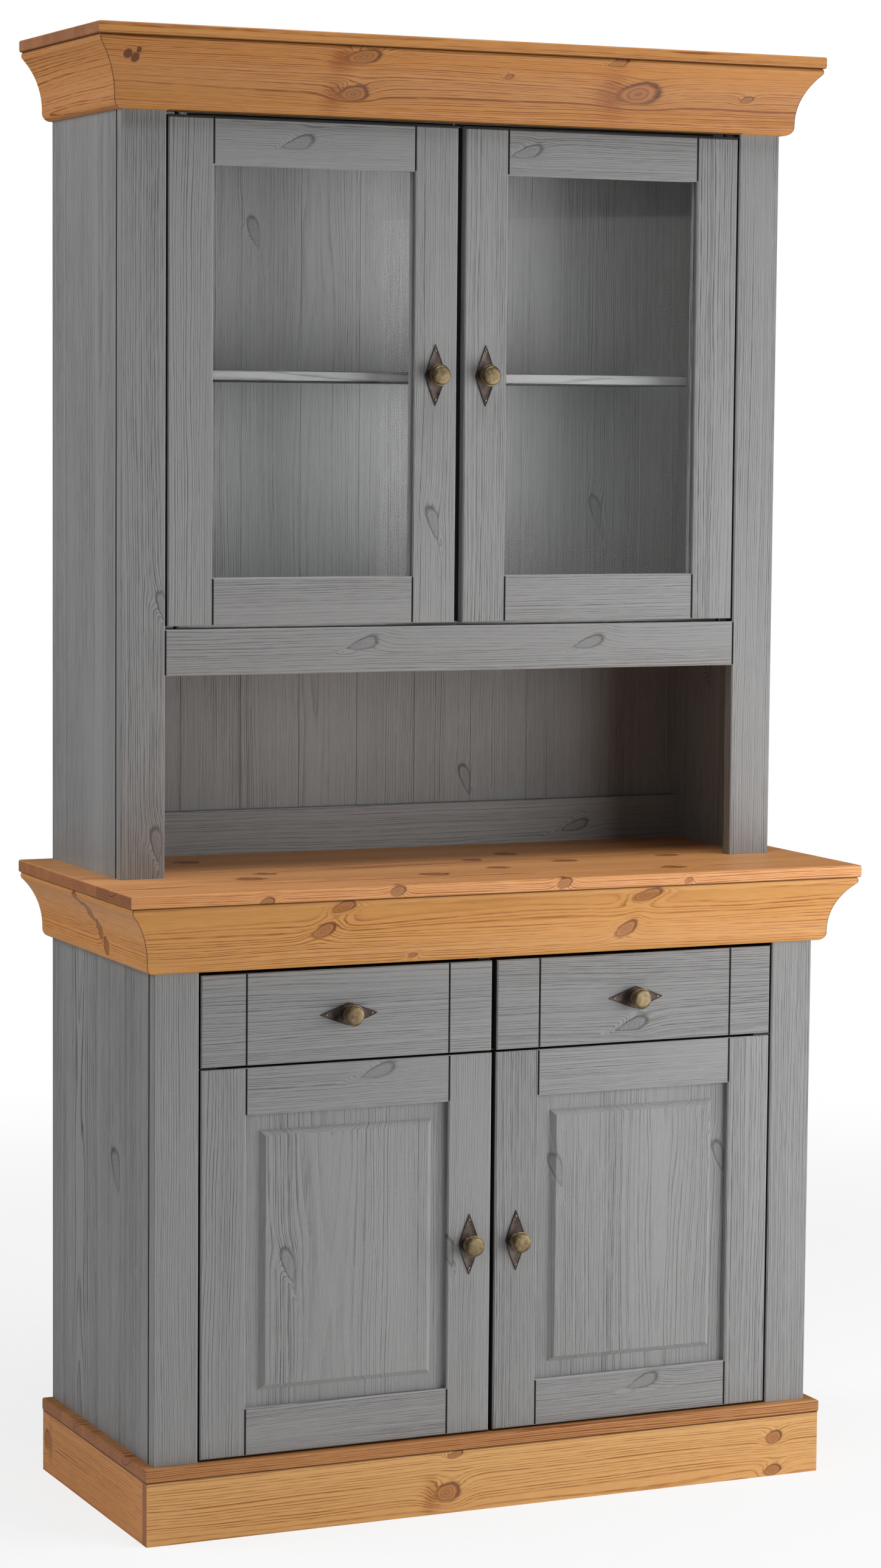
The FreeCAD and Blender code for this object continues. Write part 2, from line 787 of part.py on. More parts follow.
def drawer_bracket(label, side):
    """A thin steel plate from behind the stile into the gap over a lower door."""
    reach = pivot_x - given("bracket_width") / 2
    x = (-stile_inner, -reach) if side < 0 else (reach, stile_inner)
    centre_y = base_front + given("pivot_setback")
    rear_y = base_front + stile + given("bracket_width")
    tail_y = (base_front + stile, rear_y)
    body = board(label, x, (centre_y - given("bracket_width") / 2 + 1, rear_y), (bracket_z, bracket_top))
    tail = stile_inner + given("bracket_tail")
    tail_x = (-tail, -reach) if side < 0 else (reach, tail)
    stock(body, "Additive", tail_x, tail_y, (bracket_z, bracket_top))
    flange_x = (-tail, -stile_inner - 2) if side < 0 else (stile_inner + 2, tail)
    stock(body, "Additive", flange_x, (base_front + stile, base_front + stile + given("bracket_thickness")),
          (bracket_z - given("bracket_width"), bracket_top))
    round_stock(body, "Subtractive", (pivot_x * side, centre_y, bracket_z - 1), "z",
                given("pivot_diameter"), given("bracket_thickness") + 2)
    return body


for name, side in (("left", -1), ("right", 1)):
    pin_socket(base_board, side, base_front, base_floor - given("pivot_socket"))
    pin_socket(under_rail, side, upper_front, under_rail_top - given("pivot_socket"))
    pin_socket(cornice_rail, side, upper_front, cornice_foot)
group("lower_hinge_brackets", [drawer_bracket("bracket_left", -1), drawer_bracket("bracket_right", 1)])

seat = given("pivot_socket")
upper_reach = (given("upper_door_gap") + seat, given("upper_door_gap") + seat)
lower_reach = (given("lower_door_floor_gap") + seat, bracket_top - lower_door_z[1])
all_pins = []
for name, side in (("left", -1), ("right", 1)):
    half_gap = given("upper_door_middle_gap") / 2
    x = (-door_outer, -half_gap) if side < 0 else (half_gap, door_outer)
    door("upper_%s_door" % name, side, x, upper_front, upper_door_z, True)
    all_pins.extend(pivot_pins("upper_%s_pin" % name, side, upper_front, upper_door_z, upper_reach))
    half_gap = given("lower_door_middle_gap") / 2
    x = (-door_outer, -half_gap) if side < 0 else (half_gap, door_outer)
    door("lower_%s_door" % name, side, x, base_front, lower_door_z, False)
    all_pins.extend(pivot_pins("lower_%s_pin" % name, side, base_front, lower_door_z, lower_reach))
group("hinge_pins", all_pins)

# Drawers: a grooved front, two sides, a back, and a bottom let into the sides


def drawer_side(label, x, y, z, groove_right):
    """A drawer side with the groove that holds the bottom."""
    wide = size(x[1]) - x[0]
    tall = size(z[1]) - z[0]
    into = wide / 2
    low = given("drawer_bottom_thickness")
    high = low + given("drawer_bottom_thickness") + given("joint_play")
    if groove_right:
        outline = [(0, 0), (wide, 0), (wide, low), (wide - into, low), (wide - into, high),
                   (wide, high), (wide, tall), (0, tall)]
    else:
        outline = [(0, 0), (wide, 0), (wide, tall), (0, tall), (0, high), (into, high),
                   (into, low), (0, low)]
    body = new_body(label, x[0], y[0], z[0])
    pad(body, draw(body, "XZ_Plane", [outline]), size(y[1]) - y[0], True)
    return body


def drawer(prefix, side):
    """One drawer with its box and pull."""
    half_gap = given("drawer_middle_gap") / 2
    x = (-door_outer, -half_gap) if side < 0 else (half_gap, door_outer)
    deep = given("door_thickness")
    front = board(prefix + "_front", x, (base_front, base_front + deep), (drawer_foot, drawer_top),
                  FRONT_ALL, arris)
    groove_half = given("front_groove_width") / 2
    lines = (given("frame_width"), size(x[1]) - x[0] - given("frame_width"))
    cut_through(front, draw(front, "XY_Plane", [
        [(line - groove_half, 0), (line + groove_half, 0), (line, groove_half)] for line in lines]))
    pull_x = (size(x[0]) + x[1]) / 2
    pull_z = (drawer_foot + drawer_top) / 2
    keep(front)
    room = given("drawer_side_room")
    inner = divider_half + room
    outer = door_outer - room
    box_x = (-outer, -inner) if side < 0 else (inner, outer)
    thick = given("drawer_side_thickness")
    foot = drawer_shelf_top + 3 * given("joint_play")
    box_y = (base_front + deep, back_face - given("drawer_back_room"))
    box_z = (foot, foot + given("drawer_box_height"))
    group(prefix + "_sides", [
        drawer_side(prefix + "_left_side", (box_x[0], box_x[0] + thick), box_y, box_z, True),
        drawer_side(prefix + "_right_side", (box_x[1] - thick, box_x[1]), box_y, box_z, False)])
    low = foot + given("drawer_bottom_thickness")
    high = low + given("drawer_bottom_thickness")
    lap = thick / 2 - given("panel_play") / 2
    keep(board(prefix + "_bottom", (box_x[0] + thick - lap, box_x[1] - thick + lap), box_y, (low, high)))
    keep(board(prefix + "_back", (box_x[0] + thick, box_x[1] - thick),
               (box_y[1] - thick, box_y[1]), (high, box_z[1])))
    pull(prefix + "_handle", pull_x, base_front, pull_z, False)


drawer("left_drawer", -1)
drawer("right_drawer", 1)

# Look over every object, then write the pieces
doc.recompute()
for item in doc.Objects:
    if "Invalid" in item.State or "Error" in item.State:
        raise RuntimeError("%s is not sound: %s" % (item.Label, item.State))
for item in finished:
    if item.Shape.isNull() or not item.Shape.isValid():
        raise RuntimeError("%s has no sound shape" % item.Label)
    item.Shape.exportStep("parts/%s.step" % item.Label)
    print("%-34s solids %d  volume %.1f" % (item.Label, len(item.Shape.Solids), item.Shape.Volume))
print("pieces written:", len(finished))
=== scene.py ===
# %% [markdown]
# # A painted pine dresser, dressed in Blender
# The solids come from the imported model, in metres and in one frame, so nothing here is moved or fitted.
# This lesson gives every board its grain, its knots and its finish, makes the turned pulls anew and adds
# three thin beads.

# %% Load the solids
import math
import bpy
import numpy as np
from mathutils import Matrix, Vector


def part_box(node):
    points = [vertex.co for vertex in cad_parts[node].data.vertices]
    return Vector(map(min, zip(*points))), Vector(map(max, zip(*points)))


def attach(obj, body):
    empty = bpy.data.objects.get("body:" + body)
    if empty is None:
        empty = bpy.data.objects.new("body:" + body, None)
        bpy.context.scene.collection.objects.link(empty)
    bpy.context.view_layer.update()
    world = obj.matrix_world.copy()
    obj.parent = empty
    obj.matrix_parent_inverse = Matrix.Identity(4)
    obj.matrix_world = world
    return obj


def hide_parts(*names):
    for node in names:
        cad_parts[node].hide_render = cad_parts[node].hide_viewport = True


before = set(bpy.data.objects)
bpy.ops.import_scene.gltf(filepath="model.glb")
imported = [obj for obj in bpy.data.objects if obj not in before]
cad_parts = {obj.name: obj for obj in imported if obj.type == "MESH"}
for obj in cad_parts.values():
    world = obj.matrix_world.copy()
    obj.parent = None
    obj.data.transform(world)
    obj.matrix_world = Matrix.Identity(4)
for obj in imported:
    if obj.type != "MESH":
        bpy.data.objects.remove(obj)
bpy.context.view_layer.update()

# %% [markdown]
# ## The camera
# The camera stands a little left of the middle at chest height, far back, with a long lens. Its three axes
# were worked out from the corners of the boards. A camera could also be aimed with a Track To constraint,
# but axes written as numbers keep the slight roll that a hand-held aim loses.

# %% Camera at the photograph's place
camera_data = bpy.data.cameras.new("front_left_camera")
camera_data.sensor_fit = "VERTICAL"
camera_data.sensor_height = 36.0
camera_data.lens = 91.11
camera = bpy.data.objects.new("front_left_camera", camera_data)
camera_right = Vector((0.911674, -0.4108215, 0.0087313))
camera_up = Vector((0.0299945, 0.0877239, 0.9956932))
camera_back = Vector((-0.409818, -0.9074857, 0.092298))
turn = Matrix((camera_right, camera_up, camera_back)).transposed().to_4x4()
camera.matrix_world = Matrix.Translation((-2.11423, -4.67767, 1.38919)) @ turn
bpy.context.scene.collection.objects.link(camera)
bpy.context.scene.camera = camera
bpy.context.scene.view_settings.view_transform = "Standard"
print("lens", camera_data.lens, "mm, eye height", round(camera.location.z, 3), "m")

# %% [markdown]
# ## Short calls for nodes
# A finish is a tree of nodes. Written out in full, each node takes four lines, so this small class adds a
# node, fills its sockets and returns its output in one call. An output that is handed in is linked, and a
# plain number is set on the socket itself.

# %% Node helper


class Nodes:
    """Adds nodes to one tree and links what it is given."""

    def __init__(self, tree):
        self.tree = tree

    def add(self, kind, values=None, **settings):
        node = self.tree.nodes.new("ShaderNode" + kind)
        for key, value in settings.items():
            setattr(node, key, value)
        for socket, value in (values or {}).items():
            self.put(node.inputs[socket], value)
        return node

    def put(self, socket, value):
        if isinstance(value, bpy.types.NodeSocket):
            self.tree.links.new(value, socket)
        else:
            socket.default_value = value

    def calc(self, operation, *terms):
        return self.add("Math", dict(enumerate(terms)), operation=operation).outputs[0]

    def plus(self, *terms):
        return self.calc("ADD", *terms)

    def minus(self, *terms):
        return self.calc("SUBTRACT", *terms)

    def times(self, *terms):
        return self.calc("MULTIPLY", *terms)

    def weigh(self, value, share, base):
        """The value times its share, on top of a base."""
        return self.calc("MULTIPLY_ADD", value, share, base)

    def total(self, base, *weighted):
        """A base with each value times its share on top."""
        for value, share in weighted:
            base = self.weigh(value, share, base)
        return base

    def split(self, vector):
        return self.add("SeparateXYZ", {0: vector}).outputs

    def vec(self, operation, *terms):
        node = self.add("VectorMath", dict(enumerate(terms)), operation=operation)
        return node.outputs["Value" if operation in ("LENGTH", "DISTANCE", "DOT_PRODUCT") else "Vector"]

    def noise(self, place, scale, detail=2.0, rough=0.5):
        stretched = self.vec("MULTIPLY", place, scale)
        return self.add("TexNoise", {"Vector": stretched, "Scale": 1.0, "Detail": detail, "Roughness": rough})

    def ramp(self, factor, stops, curve="LINEAR"):
        node = self.add("ValToRGB", {0: factor})
        node.color_ramp.interpolation = curve
        marks = node.color_ramp.elements
        while len(marks) < len(stops):
            marks.new(0.5)
        for mark, (at, colour) in zip(marks, stops):
            mark.position = at
            mark.color = (*colour, 1.0) if isinstance(colour, tuple) else (colour, colour, colour, 1.0)
        return node.outputs[0]

    def mix(self, factor, first, second, blend="MIX"):
        node = self.add("Mix", {0: factor, 6: first, 7: second}, data_type="RGBA", blend_type=blend)
        return node.outputs[2]

    def fade(self, value, low, high):
        return self.add("MapRange", {0: value, 1: low, 2: high, 3: 0.0, 4: 1.0},
                        interpolation_type="SMOOTHSTEP").outputs[0]


def srgb(red, green, blue):
    """The linear colour of a screen colour given as 0 to 255, by the usual two-part curve."""
    part = np.array([red, green, blue]) / 255.0
    return tuple(np.where(part <= 0.04045, part / 12.92, ((part + 0.055) / 1.055) ** 2.4).tolist())


def new_finish(name):
    """A material with an empty tree, and the calls that fill it."""
    material = bpy.data.materials.new(name)
    material.use_nodes = True
    material.node_tree.nodes.clear()
    return material, Nodes(material.node_tree)


print("mid grey 141 is", round(srgb(141, 141, 141)[0], 3), "in linear light")

# %% [markdown]
# ## Floor, backdrop and light
# The object stands on a pale floor in a white room. The floor is a disc that fades out at its rim, so no
# edge shows. For rays from the camera most of it is plain white and the rest is lit, which leaves a soft
# shadow. A lit white wall would do too, but it would throw its light back on the object.

# %% White room
world = bpy.data.worlds.new("white_room")
bpy.context.scene.world = world
world.use_nodes = True
world.node_tree.nodes.clear()
room = Nodes(world.node_tree)


def seen_directly(nodes):
    """One where a ray comes from the camera or through glass, and zero for the light that falls on things."""
    path = nodes.add("LightPath")
    return nodes.calc("MAXIMUM", path.outputs["Is Camera Ray"], path.outputs["Is Transmission Ray"])


WHITE = (1, 1, 1, 1)
even_light = room.add("Background", {"Color": WHITE, "Strength": 0.08})
white_wall = room.add("Background", {"Color": WHITE, "Strength": 1.0})
room_mix = room.add("MixShader", {0: seen_directly(room), 1: even_light.outputs[0], 2: white_wall.outputs[0]})
room.add("OutputWorld", {0: room_mix.outputs[0]})
print("even light of the room:", even_light.inputs["Strength"].default_value)

# %% Floor disc


def link_mesh(name, points, faces, smooth=False):
    """A mesh object at the origin from an array of points and a list of faces."""
    mesh = bpy.data.meshes.new(name)
    mesh.from_pydata(points.tolist(), [], faces)
    mesh.polygons.foreach_set("use_smooth", np.full(len(mesh.polygons), smooth))
    mesh.update()
    piece = bpy.data.objects.new(name, mesh)
    bpy.context.scene.collection.objects.link(piece)
    return piece


FLOOR_RADIUS, RIM_POINTS = 3.4, 96
FADE_FROM, FADE_TO = 1.5, 3.2
WHITE_SHARE = 0.78
angle = np.linspace(0.0, 2 * np.pi, RIM_POINTS, endpoint=False)
rim = FLOOR_RADIUS * np.stack([np.cos(angle), np.sin(angle), 0 * angle], axis=1)
floor = link_mesh("floor", rim, [list(range(RIM_POINTS))])
floor_finish, n = new_finish("pale_floor")
floor_place = n.add("TexCoord").outputs["Object"]
faded = n.fade(n.vec("LENGTH", floor_place), FADE_FROM, FADE_TO)
speckle = n.ramp(n.noise(floor_place, (40, 40, 40), 3).outputs[0], [(0.3, 0.86), (0.7, 0.9)])
lit = n.add("BsdfDiffuse", {"Color": speckle, "Roughness": 0.6})
plain_white = n.add("Emission", {"Color": WHITE, "Strength": 1.0})
whitened = n.times(seen_directly(n), WHITE_SHARE)
floor_look = n.add("MixShader", {0: whitened, 1: lit.outputs[0], 2: plain_white.outputs[0]})
clear = n.add("BsdfTransparent")
floor_mix = n.add("MixShader", {0: faded, 1: floor_look.outputs[0], 2: clear.outputs[0]})
n.add("OutputMaterial", {0: floor_mix.outputs[0]})
floor.data.materials.append(floor_finish)
print("floor radius:", FLOOR_RADIUS, "m")

# %% [markdown]
# ## Lamps
# Four wide lamps make a soft studio. One stands near at the right, so the light falls off to the left. One
# stands at the left behind the front, so it reaches the left sides only. One hangs high and lights the
# counter, and a weak one fills the niche. A bare bulb is simpler, but it cuts hard shadows.

# %% Lamps


def lamp(name, place, target, size, watts):
    """A wide rectangular lamp turned towards a point."""
    data = bpy.data.lights.new(name, "AREA")
    data.shape = "RECTANGLE"
    data.size, data.size_y = size
    data.energy = watts
    item = bpy.data.objects.new(name, data)
    aim = Vector(target) - Vector(place)
    item.matrix_world = Matrix.Translation(place) @ aim.to_track_quat("-Z", "Y").to_matrix().to_4x4()
    bpy.context.scene.collection.objects.link(item)
    return item


lamp("near_right_lamp", (1.5, -1.45, 0.8), (0.1, -0.1, 0.85), (2.0, 1.9), 46.0)
lamp("left_lamp", (-2.7, 0.95, 2.1), (-0.45, 0.0, 1.2), (1.6, 1.8), 44.0)
lamp("high_lamp", (0.2, -0.75, 3.9), (0.0, -0.1, 0.8), (2.2, 0.9), 52.0)
lamp("fill_lamp", (-2.4, -2.0, 1.15), (0.3, 0.0, 0.95), (1.8, 1.6), 4.0)

# %% [markdown]
# ## How pine is figured
# A trunk is a stack of cones, so a board shows lines of equal distance from the pith: straight lines where
# it was cut beside the pith, arches where it was cut across, arcs on its ends. A Wave texture gives even
# stripes and a picture gives one board only. Here the distance from a pith line outside the board is worked
# out for each point in space, so the face, the edges and the ends of one board agree with each other.

# %% Grain frame
TURNS = {"x": (0.0, 0.0, 0.0), "y": (0.0, 0.0, -math.pi / 2), "z": (0.0, math.pi / 2, 0.0)}


def grain_place(nodes, grain):
    """The point in metres, turned so that its first part runs along the grain."""
    place = nodes.add("TexCoord").outputs["Object"]
    return nodes.add("Mapping", {"Vector": place, "Rotation": TURNS[grain]}).outputs[0]


def turned(point, grain):
    """The same turn for a point that is known: x stays, y gives (y, -x, z), z gives (z, y, -x)."""
    x, y, z = point
    return {"x": (x, y, z), "y": (y, -x, z), "z": (z, y, -x)}[grain]


def new_group(name, inputs, outputs):
    """An empty node group with named sockets."""
    group = bpy.data.node_groups.new(name, "ShaderNodeTree")
    for names, way in ((inputs, "INPUT"), (outputs, "OUTPUT")):
        for label, socket in names:
            group.interface.new_socket(label, in_out=way, socket_type="NodeSocket" + socket)
    nodes = Nodes(group)
    return group, nodes, nodes.tree.nodes.new("NodeGroupInput").outputs


def group_out(nodes, **values):
    """Join named values to the outputs of a group."""
    ends = nodes.tree.nodes.new("NodeGroupOutput")
    for label, value in values.items():
        nodes.put(ends.inputs[label], value)


print("grain runs along:", ", ".join(TURNS))

# %% [markdown]
# ## Growth rings
# The distance from the pith, divided by the width of a ring, counts the years. Slow noise lets the pith
# wander and makes good and bad years, and a knot adds to the count near it, which bends the lines. Noise
# scales are per metre: along the grain, then across it.

# %% Count of years
HALF = (0.5, 0.5, 0.5)
YEAR_PACE, YEAR_SPREAD, KNOT_RINGS = 0.37, 1.9, 3.4
rings, n, given = new_group(
    "growth_rings",
    [("Place", "Vector"), ("Pith", "Vector"), ("Ring", "Float"), ("Drift", "Float"), ("Seed", "Float"),
     ("Push", "Float"), ("Inside", "Float"), ("Distance", "Float")],
    [("Line", "Float"), ("Tone", "Float"), ("Fibre", "Float")])
seed_step = n.vec("MULTIPLY", (3.1, 7.7, 5.3), given["Seed"])
moved = n.vec("ADD", given["Place"], seed_step)
wander = n.noise(moved, (1.5, 13.0, 13.0), 2.0).outputs["Color"]
ripple = n.noise(moved, (7.0, 60.0, 60.0), 1.0).outputs["Color"]
swing = n.vec("ADD", n.vec("SUBTRACT", wander, HALF),
              n.vec("MULTIPLY", n.vec("SUBTRACT", ripple, HALF), (0.16, 0.16, 0.16)))
strayed = n.vec("ADD", given["Place"], n.vec("MULTIPLY", swing, given["Drift"]))
radial = n.vec("LENGTH", n.vec("MULTIPLY", n.vec("SUBTRACT", strayed, given["Pith"]), (0.0, 1.0, 1.0)))
count = n.plus(n.calc("DIVIDE", radial, given["Ring"]), given["Push"])
uneven = n.add("TexNoise", {"W": n.weigh(count, YEAR_PACE, given["Seed"]), "Scale": 1.0, "Detail": 1.0},
               noise_dimensions="1D").outputs[0]
count = n.weigh(n.minus(uneven, 0.5), YEAR_SPREAD, count)
knot_count = n.times(given["Distance"], KNOT_RINGS)
number = n.plus(n.times(count, n.minus(1.0, given["Inside"])), n.times(knot_count, given["Inside"]))
print("nodes that count the years:", len(rings.nodes))

# %% [markdown]
# ## Lines of the rings
# Within a year the wood starts pale and ends in a thin dark line. Some years are stronger than others, and
# a line fades in patches and breaks into short strokes, as in a brushed board. One stripe for all years
# would be simpler, and would look printed.

# %% Lines of the rings
year = n.calc("FLOOR", number)
season = n.calc("FRACT", number)
late = n.ramp(season, [(0.0, 0.0), (0.5, 0.0), (0.8, 0.8), (0.93, 1.0), (1.0, 0.0)])
strong = n.add("TexWhiteNoise", {"W": n.plus(year, given["Seed"])}, noise_dimensions="1D").outputs[0]
patch = n.fade(n.noise(moved, (2.2, 22.0, 22.0), 1.0).outputs[0], 0.3, 0.62)
line = n.times(late, n.weigh(strong, 0.55, 0.45))
line = n.times(line, n.weigh(patch, 0.6, 0.4))
broken = n.fade(n.noise(moved, (24.0, 420.0, 420.0), 2.0).outputs[0], 0.34, 0.6)
line = n.times(line, n.weigh(broken, 0.6, 0.4))
tone = n.noise(moved, (0.9, 9.0, 9.0), 2.0).outputs[0]
fibre = n.noise(moved, (36.0, 900.0, 900.0), 3.0, 0.65).outputs[0]
group_out(n, Line=line, Tone=tone, Fibre=fibre)
print("ring nodes:", len(rings.nodes))

# %% [markdown]
# ## Knots
# A knot is where a branch left the trunk. Cut through, it is an oval, drawn out to a tail where the branch
# leaned, and the lines of the board part round it. So a knot needs three values: how far a point is from it,
# measured in its own widths, how much it pushes the lines aside, and how dark its bark line is.

# %% Knot group
knot_group, n, given = new_group(
    "knot",
    [("Place", "Vector"), ("Centre", "Vector"), ("Reach", "Vector"), ("Lean", "Vector"), ("Tail", "Float"),
     ("Rag", "Float")],
    [("Distance", "Float"), ("Inside", "Float"), ("Bark", "Float"), ("Push", "Float"), ("Flame", "Float")])
ragged = n.vec("SUBTRACT", n.noise(given["Place"], (60, 90, 90), 2.0).outputs["Color"], HALF)
ragged = n.vec("MULTIPLY", n.vec("MULTIPLY", ragged, (0.006, 0.003, 0.003)), given["Rag"])
offset = n.vec("DIVIDE", n.vec("SUBTRACT", n.vec("ADD", given["Place"], ragged), given["Centre"]),
               given["Reach"])
sheared = n.vec("MULTIPLY", given["Lean"], n.split(offset)[0])
offset = n.vec("SUBTRACT", offset, sheared)
part = n.split(offset)
girth = n.calc("MAXIMUM", n.weigh(part[0], given["Tail"], 1.0), 0.25)
oval = n.add("CombineXYZ", {0: part[0], 1: n.calc("DIVIDE", part[1], girth),
                            2: n.calc("DIVIDE", part[2], girth)}).outputs[0]
away = n.vec("LENGTH", oval)
rim_gap = n.times(n.minus(away, 1.0), 6.5)
bark = n.calc("POWER", math.e, n.times(n.times(rim_gap, rim_gap), -1.0))
upper = n.times(n.plus(part[1], part[2]), 0.8)
one_side = n.fade(n.plus(part[0], upper), -1.2, 0.9)
bark = n.times(bark, n.weigh(one_side, 0.6, 0.4))
push = n.calc("POWER", math.e, n.times(n.times(away, away), -0.42))
beside = n.plus(part[0], 1.3)
spread = n.plus(n.times(part[1], part[1]), n.times(part[2], part[2]))
flame = n.weigh(spread, -0.22, n.times(n.times(beside, beside), -2.2))
group_out(n, Distance=away, Inside=n.minus(1.0, n.fade(away, 0.86, 1.06)), Bark=bark, Push=push,
          Flame=n.calc("POWER", math.e, flame))
print("knot nodes:", len(knot_group.nodes))

# %% [markdown]
# ## All knots of a board
# A board has several knots. A point takes the distance to the nearest one and the strongest of each other
# value, and the pushes add up. The knot reaches a little way into the board, so it shows on the edge too.

# %% Knots of a board
KNOT_DEPTH = 0.03
BIG_SWIRL = 4
ACROSS = {"x": {"y": 2, "z": 1}, "y": {"x": 2, "z": 1}, "z": {"y": 2, "x": 1}}


def knots_on(nodes, place, grain, knots):
    """Values of all knots of a board together. A knot is (face it is seen on, x, y, z, half length, half
    width, tail, lean, darkness, swirl, rag), in millimetres; the swirl says by how many rings it pushes the
    lines aside, and the rag how uneven its outline is."""
    found = {"nearest": 9.0, "inside": 0.0, "bark": 0.0, "push": 0.0, "dark": 0.0, "flame": 0.0}
    for face, x, y, z, length, width, tail, lean, depth, swirl, rag in knots:
        reach, leaning = [length / 1000, KNOT_DEPTH, KNOT_DEPTH], [0.0, 0.0, 0.0]
        reach[ACROSS[grain][face]] = width / 1000
        leaning[ACROSS[grain][face]] = lean * length / width
        centre = turned((x / 1000, y / 1000, z / 1000), grain)
        node = nodes.add("Group", {"Place": place, "Centre": centre, "Reach": reach, "Lean": leaning,
                                   "Tail": tail, "Rag": rag}, node_tree=knot_group)
        found["nearest"] = nodes.calc("MINIMUM", found["nearest"], node.outputs["Distance"])
        found["inside"] = nodes.calc("MAXIMUM", found["inside"], node.outputs["Inside"])
        found["bark"] = nodes.calc("MAXIMUM", found["bark"], node.outputs["Bark"])
        found["push"] = nodes.weigh(node.outputs["Push"], swirl, found["push"])
        if depth:
            darkened = nodes.times(node.outputs["Inside"], depth)
            found["dark"] = nodes.calc("MAXIMUM", found["dark"], darkened)
        if swirl > BIG_SWIRL:
            found["flame"] = nodes.calc("MAXIMUM", found["flame"], node.outputs["Flame"])
    return found


def figure(nodes, place, pith, ring, drift, seed, knots):
    """Ring lines, slow tone and fibre of one board, bent round its knots."""
    node = nodes.add("Group", {"Place": place, "Pith": pith, "Ring": ring, "Drift": drift, "Seed": seed,
                               "Push": knots["push"], "Inside": knots["inside"],
                               "Distance": knots["nearest"]}, node_tree=rings)
    return node.outputs["Line"], node.outputs["Tone"], node.outputs["Fibre"]


print("a knot reaches", KNOT_DEPTH, "m into its board")

# %% [markdown]
# ## Dirt in the joints, and painted shade
# Where two boards meet, their arrises leave a small groove, and paint and dust gather in it, so a joint is
# read as a dark line. It could be painted by hand as a mask. Here each joint is a thin box in space, and a
# point is as dark as it lies deep in one. The same boxes also carry painted shade: in the gaps round the
# doors, under the cornice, under the board edges and under the shelf.

# %% Joint group
DARK_INSIDE, PLAIN_OUTSIDE = -0.0006, 0.0005
joint_and_shade_group, n, given = new_group(
    "joint", [("Place", "Vector"), ("Middle", "Vector"), ("Half", "Vector")], [("Share", "Float")])
from_middle = n.vec("ABSOLUTE", n.vec("SUBTRACT", given["Place"], given["Middle"]))
part = n.split(n.vec("SUBTRACT", from_middle, given["Half"]))
farthest = n.calc("MAXIMUM", n.calc("MAXIMUM", part[0], part[1]), part[2])
# deep in a box a point turns dark, for joint grime and for painted shade alike
group_out(n, Share=n.minus(1.0, n.fade(farthest, DARK_INSIDE, PLAIN_OUTSIDE)))


def dirt_and_shade_on(nodes, boxes):
    """Joint grime and painted shade at a point. A box is (low corner, high corner) in millimetres."""
    place = nodes.add("TexCoord").outputs["Object"]
    dirt_and_shade = 0.0
    for low, high in boxes:
        low, high = np.array(low, float) / 1000, np.array(high, float) / 1000
        node = nodes.add("Group", {"Place": place, "Middle": (low + high) / 2, "Half": (high - low) / 2},
                         node_tree=joint_and_shade_group)
        dirt_and_shade = nodes.calc("MAXIMUM", dirt_and_shade, node.outputs[0])
    return dirt_and_shade


print("joint nodes:", len(joint_and_shade_group.nodes))

# %% [markdown]
# ## Rims and arrises
# The narrow edges of a door get painted shade from a little behind its face, as the gaps round it lie in
# shade. The planed arrises are the other way round: hands keep them pale. Both are found from the point and
# its normal, so no part of the mesh has to be marked.

# %% Rims and arrises
# door and drawer edges get painted shade from this far behind the face
RIM_SHADE_FROM, RIM_SHADE_TO = 0.0016, 0.004


def rim_shade(nodes, low, high):
    """Painted shade on the narrow edges of a door or drawer front: points on the outline of its box, in
    metres, from a little behind its face."""
    place = nodes.add("TexCoord").outputs["Object"]
    middle, half = (low + high) / 2, (high - low) / 2
    from_middle = nodes.vec("ABSOLUTE", nodes.vec("SUBTRACT", place, middle))
    part = nodes.split(nodes.vec("SUBTRACT", from_middle, half))
    rim = nodes.fade(nodes.calc("MAXIMUM", part[0], part[2]), -0.0005, -0.0001)
    behind = nodes.fade(nodes.split(place)[1], low[1] + RIM_SHADE_FROM, low[1] + RIM_SHADE_TO)
    return nodes.times(rim, behind)


def arris_share(nodes):
    """One on planed arrises, whose normal leans away from all three axes, and zero on flat faces."""
    normal = nodes.vec("ABSOLUTE", nodes.add("TexCoord").outputs["Normal"])
    part = nodes.split(normal)
    straight = nodes.calc("MAXIMUM", nodes.calc("MAXIMUM", part[0], part[1]), part[2])
    return nodes.fade(nodes.minus(1.0, straight), 0.08, 0.24)


# the rims carry painted shade for the gaps, starting this far behind the face
print("rims are dirty from", RIM_SHADE_FROM, "m behind the face")

# %% [markdown]
# ## Brushed and painted pine
# The carcase, doors and drawer fronts are brushed before they are painted: a wire brush takes out the soft
# wood, the hard lines stand up, and thin grey paint lies over both and stays darker in the lines. So the
# lines go into the colour and into a Bump node. Modelled relief would be truer and cost millions of faces.

# %% Painted finish
PAINT_DARK = srgb(92, 92, 92)
PAINT = srgb(141, 141, 141)
PAINT_PALE = srgb(162, 162, 162)
# near black for dirty joints and for painted shade in gaps, under the shelf and on door edges
DIRT_AND_SHADE = srgb(22, 22, 22)


def shader_out(nodes, **values):
    """A Principled surface with the given sockets, joined to the output."""
    shader = nodes.add("BsdfPrincipled", {key.replace("_", " "): value for key, value in values.items()})
    nodes.add("OutputMaterial", {0: shader.outputs[0]})
    return shader


